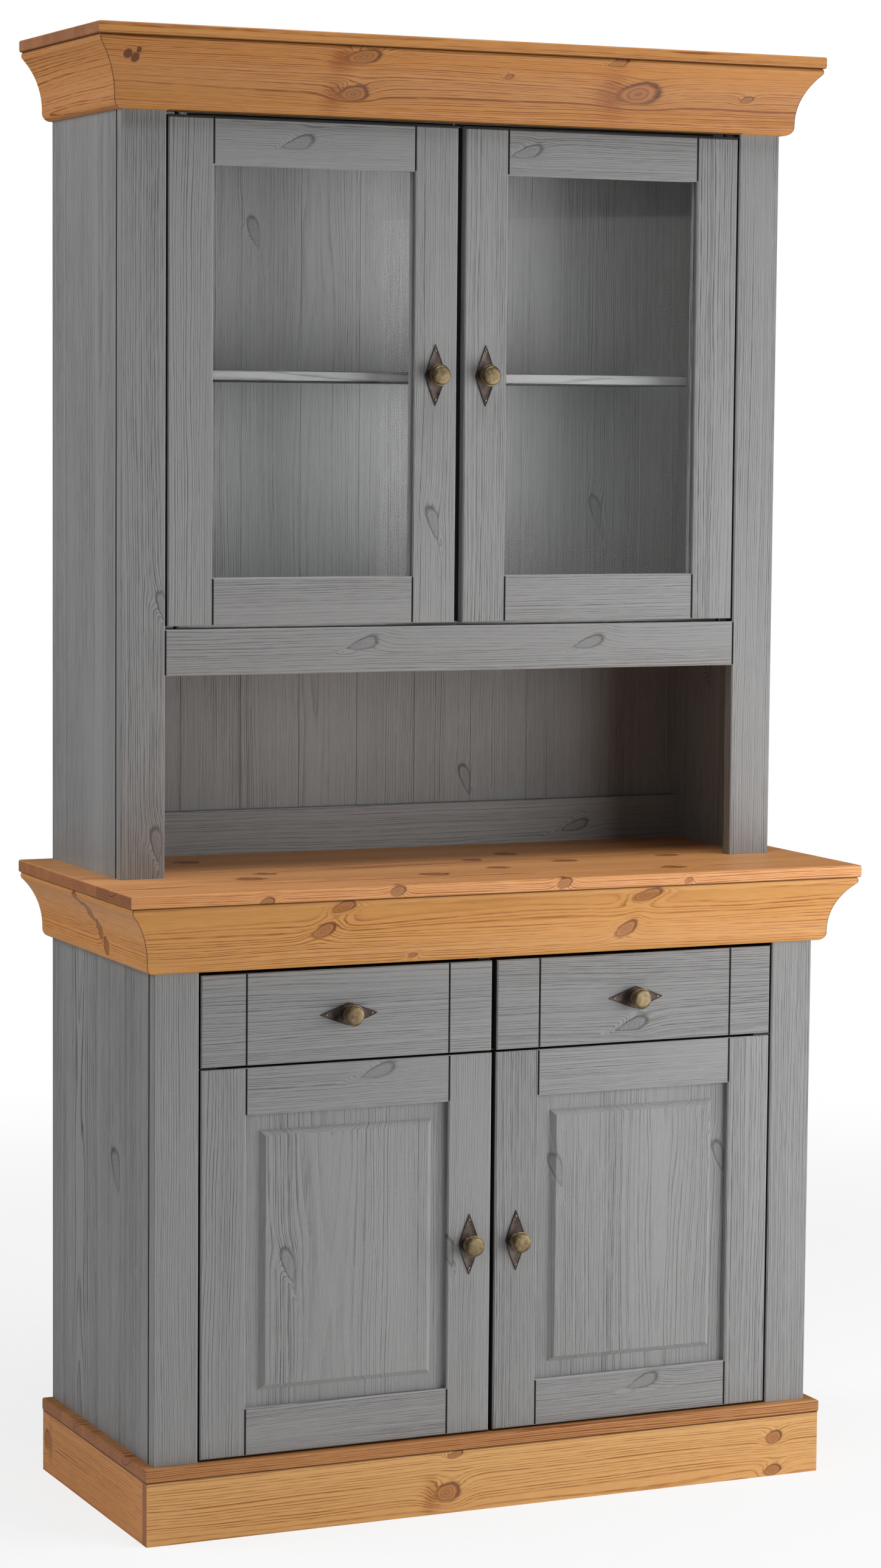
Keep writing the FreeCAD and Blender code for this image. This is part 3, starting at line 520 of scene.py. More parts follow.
def painted_pine(name, grain, pith, seed, knots=(), joints=(), rim=None, level=1.0, depth=1.0,
                 ring=0.0026, drift=0.02):
    """Grey paint over brushed pine, its lines in relief; level scales the greys and depth the lines."""
    material, n = new_finish(name)
    place = grain_place(n, grain)
    found = knots_on(n, place, grain, knots)
    line, tone, fibre = figure(n, place, pith, ring, drift, seed, found)
    inside, bark = found["inside"], found["bark"]
    line = n.times(line, n.weigh(inside, -0.7, 1.0))
    grit = n.noise(place, (500.0, 900.0, 900.0), 2.0).outputs[0]
    shade = n.total(0.69, (n.minus(tone, 0.5), 0.34), (line, -0.7 * depth), (n.minus(fibre, 0.5), 0.55),
                    (n.minus(grit, 0.5), 0.3), (bark, -0.34), (inside, -0.2), (arris_share(n), 0.16))
    dark, plain, pale = [tuple(level * part for part in grey) for grey in (PAINT_DARK, PAINT, PAINT_PALE)]
    colour = n.ramp(shade, [(0.0, dark), (0.58, plain), (1.0, pale)])
    # dark joints, plus painted shade in the gaps round the doors, under the shelf and on the edges of the
    # fronts
    dirt_and_shade = dirt_and_shade_on(n, joints)
    if rim:
        dirt_and_shade = n.calc("MAXIMUM", dirt_and_shade, rim_shade(n, *rim))
    if joints or rim:
        colour = n.mix(n.times(dirt_and_shade, 0.9), colour, (*DIRT_AND_SHADE, 1.0))
    relief = n.total(n.times(line, -depth), (fibre, 0.35), (bark, -0.6))
    bump = n.add("Bump", {"Height": relief, "Strength": 0.8, "Distance": 0.0008})
    rough = n.weigh(fibre, 0.2, 0.42)
    shader_out(n, Base_Color=colour, Roughness=rough, Normal=bump.outputs[0], Specular_IOR_Level=0.25)
    return material


print("paint in linear light:", [round(tone[0], 3) for tone in (PAINT_DARK, PAINT, PAINT_PALE)])

# %% [markdown]
# ## Ends, staves and mitres
# The oiled boards show their sawn ends, the wide ones are glued up of staves, and the mouldings meet in
# mitres. An end is told by its normal, a stave by dividing the place across the board, and a mitre by the
# plane it lies in. Separate meshes for each stave would do as well, but the board is one piece here.

# %% Ends, staves and mitres
MITRE_DARK, MITRE_CLEAN = 0.0004, 0.0014


def end_share(nodes, grain):
    """One on the sawn ends of a board, whose normal runs along the grain, and zero on its faces."""
    normal = nodes.add("TexCoord").outputs["Normal"]
    axis = {"x": (1, 0, 0), "y": (0, 1, 0), "z": (0, 0, 1)}[grain]
    along = nodes.calc("ABSOLUTE", nodes.vec("DOT_PRODUCT", normal, axis))
    return nodes.fade(along, 0.6, 0.9)


def stave_pith(nodes, place, width, seed):
    """Pith and seed of the stave that a point lies in, for a board glued up of staves of equal width."""
    across = nodes.split(place)[1]
    index = nodes.calc("FLOOR", nodes.calc("DIVIDE", across, width))
    chance = nodes.add("TexWhiteNoise", {"W": nodes.plus(index, seed)}, noise_dimensions="1D")
    part = nodes.split(chance.outputs["Color"])
    middle = nodes.times(nodes.plus(index, part[0]), width)
    height = nodes.weigh(nodes.minus(part[1], 0.5), 0.09, 0.0)
    return nodes.add("CombineXYZ", {1: middle, 2: height}).outputs[0], nodes.times(part[2], 40.0)


def mitre_dirt(nodes, corner):
    """A thin line on the slanted plane in which two mouldings meet at a front corner of the carcase."""
    part = nodes.split(nodes.add("TexCoord").outputs["Object"])
    reach = nodes.minus(nodes.calc("ABSOLUTE", part[0]), corner[0] / 1000)
    depth = nodes.minus(corner[1] / 1000, part[1])
    gap = nodes.calc("ABSOLUTE", nodes.minus(reach, depth))
    return nodes.minus(1.0, nodes.fade(gap, MITRE_DARK, MITRE_CLEAN))


print("a mitre line fades out at", MITRE_CLEAN, "m")

# %% [markdown]
# ## Oiled pine
# The boards that stick out are pine with honey-coloured oil and no paint. Here the colour carries the figure:
# pale early wood, red-brown late wood, and knots with a dark bark line and a brown heart. The ends of the
# boards drink more oil, so they are darker and redder. A photograph of a board could be wrapped on instead,
# but its ends would not agree with its face.

# %% Oiled finish
HONEY_PALE = srgb(212, 164, 104)
HONEY = srgb(199, 147, 88)
HONEY_DARK = srgb(150, 90, 44)
HEART_PALE = srgb(182, 118, 66)
HEART = srgb(128, 72, 40)
BARK = srgb(88, 44, 22)
CORE = srgb(168, 124, 96)
END_PALE = srgb(186, 124, 80)
END_DARK = srgb(96, 48, 26)
# dark brown for oiled joints and mitres, and for painted shade under board edges and the cornice
OIL_JOINT_AND_SHADE = srgb(62, 33, 17)


def tinted(colour, tint):
    """A colour shifted by a board's own tint, part by part."""
    return tuple(min(part * share, 1.0) for part, share in zip(colour, tint))


def knot_colour(n, colour, found, fibre):
    """Paint the knots over the colour of a board: heart with its rings, grey core, bark line, dark specks."""
    core = n.minus(1.0, n.fade(found["nearest"], 0.25, 0.8))
    inner = n.calc("FRACT", n.weigh(found["nearest"], 2.9, n.times(fibre, 0.35)))
    inner = n.ramp(inner, [(0.0, 0.0), (0.5, 0.15), (0.85, 1.0), (1.0, 0.0)])
    heart = n.ramp(n.weigh(core, 0.3, n.times(inner, 0.6)), [(0.05, HEART_PALE), (0.95, HEART)])
    colour = n.mix(n.times(found["inside"], 0.75), colour, heart)
    grey_core = n.minus(1.0, n.fade(found["nearest"], 0.08, 0.3))
    colour = n.mix(n.times(grey_core, 0.6), colour, (*CORE, 1.0))
    rim = n.times(found["bark"], n.weigh(fibre, 0.8, 0.4))
    colour = n.mix(rim, colour, (*BARK, 1.0))
    return n.mix(found["dark"], colour, (*BARK, 1.0))


def oiled_pine(name, grain, pith, seed, knots=(), joints=(), mitre=None, tint=(1, 1, 1), depth=1.0,
               stave=0.0, height=0.0, ring=0.0027, drift=0.016):
    """Honey-oiled pine; with a stave width, a board glued up of staves, its middle at the given height."""
    material, n = new_finish(name)
    place = grain_place(n, grain)
    if stave:
        lowered = n.vec("SUBTRACT", place, (0.0, 0.0, height))
        pith, seed = stave_pith(n, lowered, stave, seed)
        pith = n.vec("ADD", pith, (0.0, 0.0, height))
    found = knots_on(n, place, grain, knots)
    line, tone, fibre = figure(n, place, pith, ring, drift, seed, found)
    shade = n.total(0.36, (n.minus(tone, 0.5), 0.5 * depth), (line, 0.95 * depth),
                    (n.minus(fibre, 0.5), 0.75))
    if knots:
        flame = n.times(found["flame"], n.weigh(line, 0.7, 0.5))
        shade = n.weigh(flame, 0.75, shade)
    colour = n.ramp(shade, [(0.15, tinted(HONEY_PALE, tint)), (0.45, tinted(HONEY, tint)),
                            (1.0, tinted(HONEY_DARK, tint))])
    if knots:
        colour = knot_colour(n, colour, found, fibre)
    end_wood = n.ramp(n.total(-0.12, (tone, 0.7), (line, 0.75)), [(0.05, END_PALE), (0.85, END_DARK)])
    colour = n.mix(end_share(n, grain), colour, end_wood)
    # dark joints and mitres, plus painted shade under the board edges, under the cornice and at the base
    # opening
    dirt_and_shade = dirt_and_shade_on(n, joints)
    if mitre:
        dirt_and_shade = n.calc("MAXIMUM", dirt_and_shade, mitre_dirt(n, mitre))
    if joints or mitre:
        colour = n.mix(n.times(dirt_and_shade, 0.75), colour, (*OIL_JOINT_AND_SHADE, 1.0))
    relief = n.weigh(fibre, 0.5, n.times(line, 0.6))
    bump = n.add("Bump", {"Height": relief, "Strength": 0.2, "Distance": 0.0004})
    rough = n.total(0.4, (fibre, 0.15), (line, -0.08))
    shader_out(n, Base_Color=colour, Roughness=rough, Normal=bump.outputs[0], Specular_IOR_Level=0.3)
    return material


print("honey in linear light:", [round(value, 3) for value in HONEY])

# %% [markdown]
# ## Bare pine
# Rails and drawer boxes are seldom seen, so they stay bare. Raw pine is pale and dry, with soft yellow lines
# and a matt face, so the same rings get paler colours and more roughness. One plain colour would do for the
# rails, but a drawer that is pulled out shows its sides.

# %% Bare finish
BARE_PALE = srgb(226, 202, 160)
BARE = srgb(211, 180, 131)
BARE_DARK = srgb(178, 132, 82)


def bare_pine(name, grain, pith, seed, joints=(), ring=0.0038, drift=0.03):
    """Sawn and planed pine without a finish."""
    material, n = new_finish(name)
    place = grain_place(n, grain)
    line, tone, fibre = figure(n, place, pith, ring, drift, seed, knots_on(n, place, grain, ()))
    shade = n.total(0.4, (n.minus(tone, 0.5), 0.5), (line, 0.32), (n.minus(fibre, 0.5), 0.4))
    colour = n.ramp(shade, [(0.1, BARE_PALE), (0.45, BARE), (1.0, BARE_DARK)])
    # painted shade where the rail faces the gap round the doors
    if joints:
        colour = n.mix(n.times(dirt_and_shade_on(n, joints), 0.9), colour, (*DIRT_AND_SHADE, 1.0))
    relief = n.weigh(line, 0.4, fibre)
    bump = n.add("Bump", {"Height": relief, "Strength": 0.25, "Distance": 0.0004})
    rough = n.weigh(fibre, 0.2, 0.58)
    shader_out(n, Base_Color=colour, Roughness=rough, Normal=bump.outputs[0], Specular_IOR_Level=0.25)
    return material


print("bare pine in linear light:", [round(value, 3) for value in BARE])

# %% [markdown]
# ## Boards and their finishes
# Each board gets its own material, so no two repeat. A row says which way the grain runs, which way the main
# face looks and where the pith lies: so far across and so far behind the middle of the board, in
# millimetres. A pith far off to the side gives straight lines, and a near one gives arches.

# %% Painted boards
PAINTED = {
    "base_side_left": ("z", "x", (70, 55)), "base_side_right": ("z", "x", (-30, 70)),
    "base_stile_left": ("z", "y", (110, 50)), "base_stile_right": ("z", "y", (-150, 60)),
    "base_back": ("z", "y", (60, 60)), "base_shelf": ("x", "z", (50, 50)),
    "upper_side_left": ("z", "x", (-60, 50)), "upper_side_right": ("z", "x", (-40, 60)),
    "upper_stile_left": ("z", "y", (-130, 55)), "upper_stile_right": ("z", "y", (140, 50)),
    "under_door_rail": ("x", "y", (55, 40)), "upper_floor": ("x", "z", (50, 60)),
    "back_boards": ("z", "y", (100, 50)), "niche_back_rail": ("x", "y", (-60, 45)),
    "upper_shelf": ("x", "z", (40, 50)),
    "upper_left_door_stiles": ("z", "y", (260, 60)), "upper_right_door_stiles": ("z", "y", (-250, 60)),
    "lower_left_door_stiles": ("z", "y", (240, 70)), "lower_right_door_stiles": ("z", "y", (-260, 60)),
    "upper_left_door_rails": ("x", "y", (120, 60)), "upper_right_door_rails": ("x", "y", (-80, 80)),
    "lower_left_door_rails": ("x", "y", (90, 60)), "lower_right_door_rails": ("x", "y", (-60, 70)),
    "lower_left_door_panel": ("z", "y", (30, 60)), "lower_right_door_panel": ("z", "y", (-40, 50)),
    "left_drawer_front": ("x", "y", (80, 40)), "right_drawer_front": ("x", "y", (-75, 45)),
}
print("painted boards:", len(PAINTED))

# %% [markdown]
# ## Oiled and bare boards
# No two oiled boards have the same tone, so their rows go on with the width of a stave, or none for a single
# plank, a tint that scales red, green and blue, and the depth of the figure.

# %% Oiled and bare boards
OILED = {
    "plinth_front": ("x", "y", (-60, 60), 0, (1.12, 1.16, 1.2), 1.0),
    "plinth_side_left": ("y", "x", (60, 50), 0, (1.1, 0.94, 0.88), 1.1),
    "plinth_side_right": ("y", "x", (60, 50), 0, (1.08, 1.0, 1.0), 0.7),
    "base_board": ("x", "z", (0, 0), 46, (0.8, 0.7, 0.68), 1.5),
    "counter_board": ("x", "z", (0, 0), 44, (1.27, 1.14, 1.2), 1.0),
    "top_board": ("x", "z", (0, 0), 42, (0.97, 0.84, 0.7), 1.1),
    "counter_moulding_front": ("x", "y", (85, 55), 0, (1.09, 0.99, 0.84), 1.2),
    "counter_moulding_left": ("y", "x", (80, 50), 0, (1.12, 0.96, 0.86), 1.2),
    "counter_moulding_right": ("y", "x", (80, 50), 0, (1.05, 0.96, 0.86), 1.0),
    "cornice_front": ("x", "y", (-75, 50), 0, (1.0, 0.83, 0.66), 1.2),
    "cornice_left": ("y", "x", (-70, 50), 0, (0.98, 0.81, 0.74), 1.2),
    "cornice_right": ("y", "x", (70, 50), 0, (1.0, 0.85, 0.72), 1.2),
}
BARE_NODES = {
    "plinth_back_rail": ("x", "y", (20, 50)), "base_top_rail": ("x", "y", (10, 50)),
    "cornice_rail": ("x", "y", (-15, 50)), "drawer_shelf": ("x", "z", (60, 60)),
    "drawer_divider": ("y", "x", (20, 50)),
    "left_drawer_sides": ("y", "x", (20, 60)), "right_drawer_sides": ("y", "x", (-20, 60)),
    "left_drawer_bottom": ("x", "z", (60, 60)), "right_drawer_bottom": ("x", "z", (-60, 60)),
    "left_drawer_back": ("x", "y", (15, 50)), "right_drawer_back": ("x", "y", (-15, 50)),
}
print("oiled boards:", len(OILED), "bare boards:", len(BARE_NODES))

# %% [markdown]
# ## Where the knots are
# The knots stand where the real boards have them, on the face that shows them. A style gives tail, lean,
# darkness, swirl and rag; a row gives the face, the place and the half length and half width. Knots strewn by
# chance would be quicker, but a maker chooses boards, and these are the ones that were chosen.

# %% Knots
TEAR = (0.6, 0.26, 0.0, 3.2, 1.0)
UPRIGHT = (0.6, 0.1, 0.0, 3.2, 1.0)
OVAL = (0.15, 0.1, 0.05, 4.6, 1.4)
ROUND = (0.0, 0.2, 0.1, 3.2, 1.3)
SPECK = (0.0, 0.0, 0.8, 1.0, 0.6)
SPIKE = (0.0, 0.0, 0.2, 1.5, 2.8)
STREAK = (0.0, 0.0, 0.3, 2.4, 4.4)
SLANT = (0.15, 0.3, 0.05, 3.6, 1.2)
STEEP = (0.2, 0.4, 0.05, 3.6, 1.2)
COUNTER_TOP = 811
KNOTS = {
    "upper_left_door_rails": [("y", -226, -47, 1726, 22, 7.5, *TEAR)],
    "upper_right_door_rails": [("y", 91, -47, 1726, 21, 7, *TEAR)],
    "back_boards": [("y", -186, 199, 1626, 21, 7, *TEAR), ("y", 319, 199, 1260, 23, 7, *TEAR),
                    ("y", 125, 199, 899, 20, 7, *TEAR)],
    "upper_left_door_stiles": [("y", -36, -47, 1253, 21, 7, *TEAR)],
    "under_door_rail": [("y", -134, -47, 1100, 21, 7, *TEAR), ("y", 186, -47, 1097, 21, 7, *TEAR)],
    "niche_back_rail": [("y", 284, 185, 831, 20, 6, *TEAR)],
    "upper_side_right": [("x", 443, 100, 1045, 20, 7, *TEAR)],
    "upper_stile_left": [("y", -403, -47, 1148, 21, 6, *TEAR), ("y", -411, -47, 854, 21, 7, *UPRIGHT)],
    "base_side_left": [("x", -458, -32, 443, 26, 13, *TEAR)],
    "lower_left_door_rails": [("y", -161, -169, 572, 22, 7.5, *TEAR)],
    "lower_left_door_panel": [("y", -279, -167, 334, 22, 7.5, *TEAR)],
    "lower_left_door_stiles": [("y", -62, -169, 336, 20, 7.5, *TEAR)],
    "right_drawer_front": [("y", 195, -169, 611, 22, 7, *TEAR)],
    "lower_right_door_panel": [("y", 92, -164, 428, 21, 7, *TEAR), ("y", 330, -164, 429, 21, 7, *TEAR)],
    "lower_right_door_rails": [("y", 217, -169, 141, 22, 7.5, *TEAR)],
    "cornice_front": [("y", -461, -77, 1824, 5, 5, *SPECK), ("y", -451, -77, 1820, 5, 5.5, *SPECK),
                      ("y", -448, -77, 1829, 3, 3, *SPECK), ("y", -152, -81, 1833, 22, 8, *OVAL),
                      ("y", -158, -67, 1789, 20, 9, *OVAL), ("y", 239, -72, 1804, 30, 13, *OVAL),
                      ("y", 200, -85, 1841, 14, 5, *TEAR), ("y", 53, -79, 1818, 5, 3, *ROUND),
                      ("y", 398, -72, 1803, 10, 4, *ROUND)],
    "counter_board": [("y", -329, -215, 796, 9, 7, *ROUND), ("y", -155, -215, 804, 10, 6, *ROUND),
                      ("y", 74, -215, 805, 9, 6, *ROUND), ("y", 250, -215, 801, 6, 4, *ROUND)]
                     + [("z", x, y, COUNTER_TOP, length, width, *STREAK) for x, y, length, width in (
                         (-313, 110, 17, 15), (-264, -45, 14, 11), (-302, -88, 19, 13), (-63, -118, 18, 14),
                         (50, 10, 14, 13), (44, -78, 15, 10), (120, 61, 13, 15), (160, -37, 17, 11),
                         (319, -25, 16, 10), (263, -150, 14, 12))],
    "counter_moulding_front": [("y", -225, -209, 787, 14, 7, *ROUND), ("y", -244, -191, 755, 15, 9, *SLANT),
                               ("y", 196, -209, 784, 18, 8, *ROUND), ("y", 176, -189, 738, 15, 9, *STEEP),
                               ("y", -121, -184, 718, 6, 3, *ROUND)],
    "counter_moulding_left": [("x", -488, 4, 785, 9, 10, *SPIKE), ("x", -484, -9, 768, 9, 12, *SPIKE),
                              ("x", -479, -22, 747, 9, 13, *SPIKE), ("x", -475, -36, 727, 8, 11, *SPIKE)],
    "plinth_front": [("y", -66, -182, 27, 17, 12, *OVAL), ("y", -55, -182, 75, 10, 4, *ROUND),
                     ("y", 407, -182, 52, 11, 8, *ROUND), ("y", 406, -182, 8, 12, 7, *ROUND)],
    "plinth_side_left": [("x", -472, 196, 44, 9, 12, *OVAL)],
}
print("boards with knots:", len(KNOTS), "knots:", sum(map(len, KNOTS.values())))

# %% [markdown]
# ## Joints of the doors and drawers
# A joint is written down once, as a box in millimetres worked out from the boards, for each board that lies
# along it. A door has four where its rails meet its stiles, and a drawer front has a groove at either end.
# An upper door also gets a band of painted shadow along its top, under the cornice, and each door and drawer
# front gets painted shade on its narrow edges.

# %% Joints of the doors and drawers
JOINT_AND_SHADE_BOXES, SHADED_RIMS = {}, {}
FRAME_WIDTH = 59.5
TOP_SHADOW_BAND = 3.5
PAST_MEETING = 20


def note_dark_box(nodes_beside, low, high):
    """Write a dark box down for each board that lies along it, for a joint as for a band of painted shade."""
    for node in nodes_beside:
        JOINT_AND_SHADE_BOXES.setdefault(node, []).append((low, high))


def corners(node):
    """The two corners of a node's box in millimetres."""
    return [np.array(corner) * 1000 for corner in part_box(node)]


def upright_joint(nodes_beside, line, face, foot, head):
    """An upright groove between two boards that look forward."""
    note_dark_box(nodes_beside, (line - 0.8, face - 1, foot), (line + 1.8, face + 4, head))


for level in ("upper", "lower"):
    for side in ("left", "right"):
        stiles, rails = "%s_%s_door_stiles" % (level, side), "%s_%s_door_rails" % (level, side)
        low, high = corners(stiles)
        for line in (low[0] + FRAME_WIDTH, high[0] - FRAME_WIDTH):
            for foot, head in ((low[2], low[2] + FRAME_WIDTH), (high[2] - FRAME_WIDTH, high[2])):
                upright_joint((stiles, rails), line, low[1], foot + 1, head - 1)
        if level == "upper":
            # a band of painted shadow along the top of an upper door, under the cornice
            note_dark_box((stiles, rails), (low[0], low[1] - 1, high[2] - TOP_SHADOW_BAND),
                       (high[0], low[1] + 4, high[2]))
            # the meeting edge keeps its plain paint, so the box of the painted rim shade goes past it
            if side == "left":
                high[0] += PAST_MEETING
            else:
                low[0] -= PAST_MEETING
        # each door gets painted shade on its narrow edges, from a little behind its face
        SHADED_RIMS[stiles] = SHADED_RIMS[rails] = (low / 1000, high / 1000)
for side in ("left", "right"):
    front = side + "_drawer_front"
    low, high = corners(front)
    # painted shade on the narrow edges of a drawer front
    SHADED_RIMS[front] = (low / 1000, high / 1000)
    for line in (low[0] + FRAME_WIDTH, high[0] - FRAME_WIDTH):
        upright_joint((front,), line, low[1], low[2], high[2])
print("boards with joints:", len(JOINT_AND_SHADE_BOXES), "with rims:", len(SHADED_RIMS))

# %% [markdown]
# ## Joints of the carcase
# The stiles meet the side panels in a planed groove and the rail under the doors in a butt joint. Round the
# doors the edges of the opening get painted shade, the mouldings leave a dark line under their boards (a
# joint, with painted shade under the board's edge), the cornice gets a painted shadow line over the doors,
# and the shelf gets painted shade underneath and along its top front arris.

# %% Joints of the carcase
PLANED, BEHIND_FACE, BOARD_LINE = 2.3, 2.6, 1.1
rail_foot, rail_head = corners("under_door_rail")
for side in ("left", "right"):
    stile = "upper_stile_" + side
    low, high = corners(stile)
    line = high[0] if side == "left" else low[0]
    upright_joint((stile, "under_door_rail"), line, low[1], rail_foot[2] + 1, rail_head[2] - 1)
    for part in ("upper", "base"):
        stile, panel = "%s_stile_%s" % (part, side), "%s_side_%s" % (part, side)
        low, high = corners(stile)
        edge = low[0] if side == "left" else high[0]
        note_dark_box((stile, panel), (edge - 4, high[1] - PLANED, low[2]),
                   (edge + 4, high[1] + PLANED, high[2]))
# painted shade on the edges of the openings round the doors, from a little behind the face
for part, under, over in (("upper", "under_door_rail", "cornice_rail"),
                          ("base", "base_board", "base_top_rail")):
    low, high = corners(part + "_stile_left")
    foot, head = corners(under)[1][2], corners(over)[0][2]
    note_dark_box((part + "_stile_left", part + "_stile_right", under, over),
               (high[0] - 0.4, low[1] + BEHIND_FACE, foot - 0.4), (0.4 - high[0], high[1] + 1, head + 0.4))
# a dark line where each board sits on its mouldings: a joint, with painted shade under the board's edge
SIDES = ("front", "left", "right")
for board, prefix, ends in (("counter_board", "counter_moulding_", SIDES), ("top_board", "cornice_", SIDES),
                            ("base_board", "plinth_", ("front", "side_left", "side_right"))):
    low, high = corners(board)
    note_dark_box([prefix + end for end in ends] + [board], (low[0] - 2, low[1] - 2, low[2] - BOARD_LINE),
               (high[0] + 2, high[1] + 2, low[2] + BOARD_LINE))
# a painted shadow line on the cornice's underside, over the doors
stile_high = corners("upper_stile_left")[1]
low, high = corners("cornice_front")
note_dark_box(("cornice_front",), (stile_high[0], high[1] - 13, low[2] - 1),
           (-stile_high[0], high[1] + 7, low[2] + 1))
# painted shade under the shelf, and a dark painted line along its top front arris
low, high = corners("upper_shelf")
note_dark_box(("upper_shelf",), (low[0], low[1] - 1, low[2] - 1), (high[0], high[1], low[2] + 1.8))
note_dark_box(("upper_shelf",), (low[0], low[1] - 1, high[2] - 1), (high[0], low[1] + 6, high[2] + 1))
print("boards with joints:", len(JOINT_AND_SHADE_BOXES), "joints:", sum(map(len, JOINT_AND_SHADE_BOXES.values())))

# %% [markdown]
# ## Dress the boards
# Now each board takes the finish of its table with its knots and joints. Each has a seed of its own, counted
# up from the first, so the grain is the same at every run. A few boards were brushed more or less than the
# others, and the shelf is painted darker as painted shade inside the upper cupboard.

# %% Dress the boards
FIRST_PAINTED, FIRST_OILED, FIRST_BARE = 1.7, 50.3, 90.1
# the shelf's paint is darker as painted shade inside the upper cupboard
SHADE_LEVELS = {"upper_shelf": 0.65}
DEPTHS = {"back_boards": 0.8, "lower_left_door_panel": 0.9, "lower_right_door_panel": 0.9,
          "base_stile_right": 0.7, "upper_stile_left": 0.85, "lower_right_door_stiles": 0.9,
          "base_side_left": 1.6, "upper_side_left": 1.4}


def pith_of(node, grain, face, across_and_depth):
    """The pith line beside a board: its middle, moved across by the first and back by the second."""
    low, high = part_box(node)
    middle = [value / 2 for value in np.add(low, high)]
    spot = list(turned(middle, grain))
    across = ACROSS[grain][face]
    spot[across] += across_and_depth[0] / 1000
    spot[3 - across] += across_and_depth[1] / 1000
    return (0.0, spot[1], spot[2])


def dress(node, material):
    """Give a node's object one material."""
    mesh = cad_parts[node].data
    mesh.materials.clear()
    mesh.materials.append(material)


for order, (node, (grain, face, offset)) in enumerate(PAINTED.items()):
    pith = pith_of(node, grain, face, offset)
    dress(node, painted_pine(node + "_paint", grain, pith, FIRST_PAINTED + order, KNOTS.get(node, ()),
                             JOINT_AND_SHADE_BOXES.get(node, ()), SHADED_RIMS.get(node), SHADE_LEVELS.get(node, 1.0),
                             DEPTHS.get(node, 1.0)))
MITRES = {"counter_moulding": "base", "cornice": "upper"}
for order, (node, (grain, face, offset, stave, tint, depth)) in enumerate(OILED.items()):
    pith = pith_of(node, grain, face, offset)
    height = (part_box(node)[0].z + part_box(node)[1].z) / 2
    carcase = MITRES.get(node.rsplit("_", 1)[0])
    mitre = carcase and (corners(carcase + "_side_right")[1][0], corners(carcase + "_stile_left")[0][1])
    dress(node, oiled_pine(node + "_oil", grain, pith, FIRST_OILED + order, KNOTS.get(node, ()),
                           JOINT_AND_SHADE_BOXES.get(node, ()), mitre, tint, depth, stave / 1000, height))
for order, (node, (grain, face, offset)) in enumerate(BARE_NODES.items()):
    pith = pith_of(node, grain, face, offset)
    dress(node, bare_pine(node + "_bare", grain, pith, FIRST_BARE + order, JOINT_AND_SHADE_BOXES.get(node, ())))
print("boards dressed:", len(PAINTED) + len(OILED) + len(BARE_NODES))

# %% [markdown]
# ## Glass
# Each upper door holds a plain pane. Clear glass bends light, and a lamp's rays to the shelf behind would be
# lost in it, so for those rays alone the pane is transparent. A breath of unevenness keeps its gloss alive.

# %% Clear panes
glass, n = new_finish("clear_pane")
pane_place = n.add("TexCoord").outputs["Object"]
PANE_DEEP, PANE_PALE = (0.97, 0.985, 0.98), (0.99, 0.995, 0.99)
unevenness = n.noise(pane_place, (3, 3, 3), 1.0).outputs[0]
pane_tint = n.ramp(unevenness, [(0.3, PANE_DEEP), (0.7, PANE_PALE)])
pane = n.add("BsdfPrincipled", {"Base Color": pane_tint, "Roughness": 0.0, "IOR": 1.12,
                                "Transmission Weight": 1.0})
open_way = n.add("BsdfTransparent")
is_shadow = n.add("LightPath").outputs["Is Shadow Ray"]
pane_mix = n.add("MixShader", {0: is_shadow, 1: pane.outputs[0], 2: open_way.outputs[0]})
n.add("OutputMaterial", {0: pane_mix.outputs[0]})
dress("upper_left_door_glass", glass)
dress("upper_right_door_glass", glass)
print("panes:", glass.name)

# %% [markdown]
# ## Steel of the hinges
# The hinge pins and their brackets are plain drawn steel, seen only when a door is open. Drawn steel has fine
# lines along its length and a few dull spots. One even grey would pass from afar, and look like plastic
# near by.

# %% Hinge steel
steel, n = new_finish("drawn_steel")
steel_place = n.add("TexCoord").outputs["Object"]
drawn = n.noise(steel_place, (2500, 2500, 60), 2.0).outputs[0]
spots = n.noise(steel_place, (120, 120, 120), 3.0).outputs[0]
steel_colour = n.ramp(n.weigh(drawn, 0.4, n.times(spots, 0.6)),
                      [(0.3, srgb(30, 29, 28)), (0.7, srgb(58, 56, 54))])
steel_rough = n.weigh(spots, 0.3, 0.22)
steel_bump = n.add("Bump", {"Height": drawn, "Strength": 0.15, "Distance": 0.0002})
shader_out(n, Base_Color=steel_colour, Metallic=1.0, Roughness=steel_rough, Normal=steel_bump.outputs[0])
dress("hinge_pins", steel)
dress("lower_hinge_brackets", steel)
print("steel:", steel.name)

# %% [markdown]
# ## Turned knobs and diamond plates
# A knob is turned on a lathe, so it is a profile carried round an axis. The plate is stamped from sheet;
# scaling a lozenge about its middle moves all four sides in by the same amount, so its section is a list of
# scales and heights carried round the outline. Both could be built from stacked primitives, but those leave
# hard steps where the real piece flows.

# %% Closed surfaces


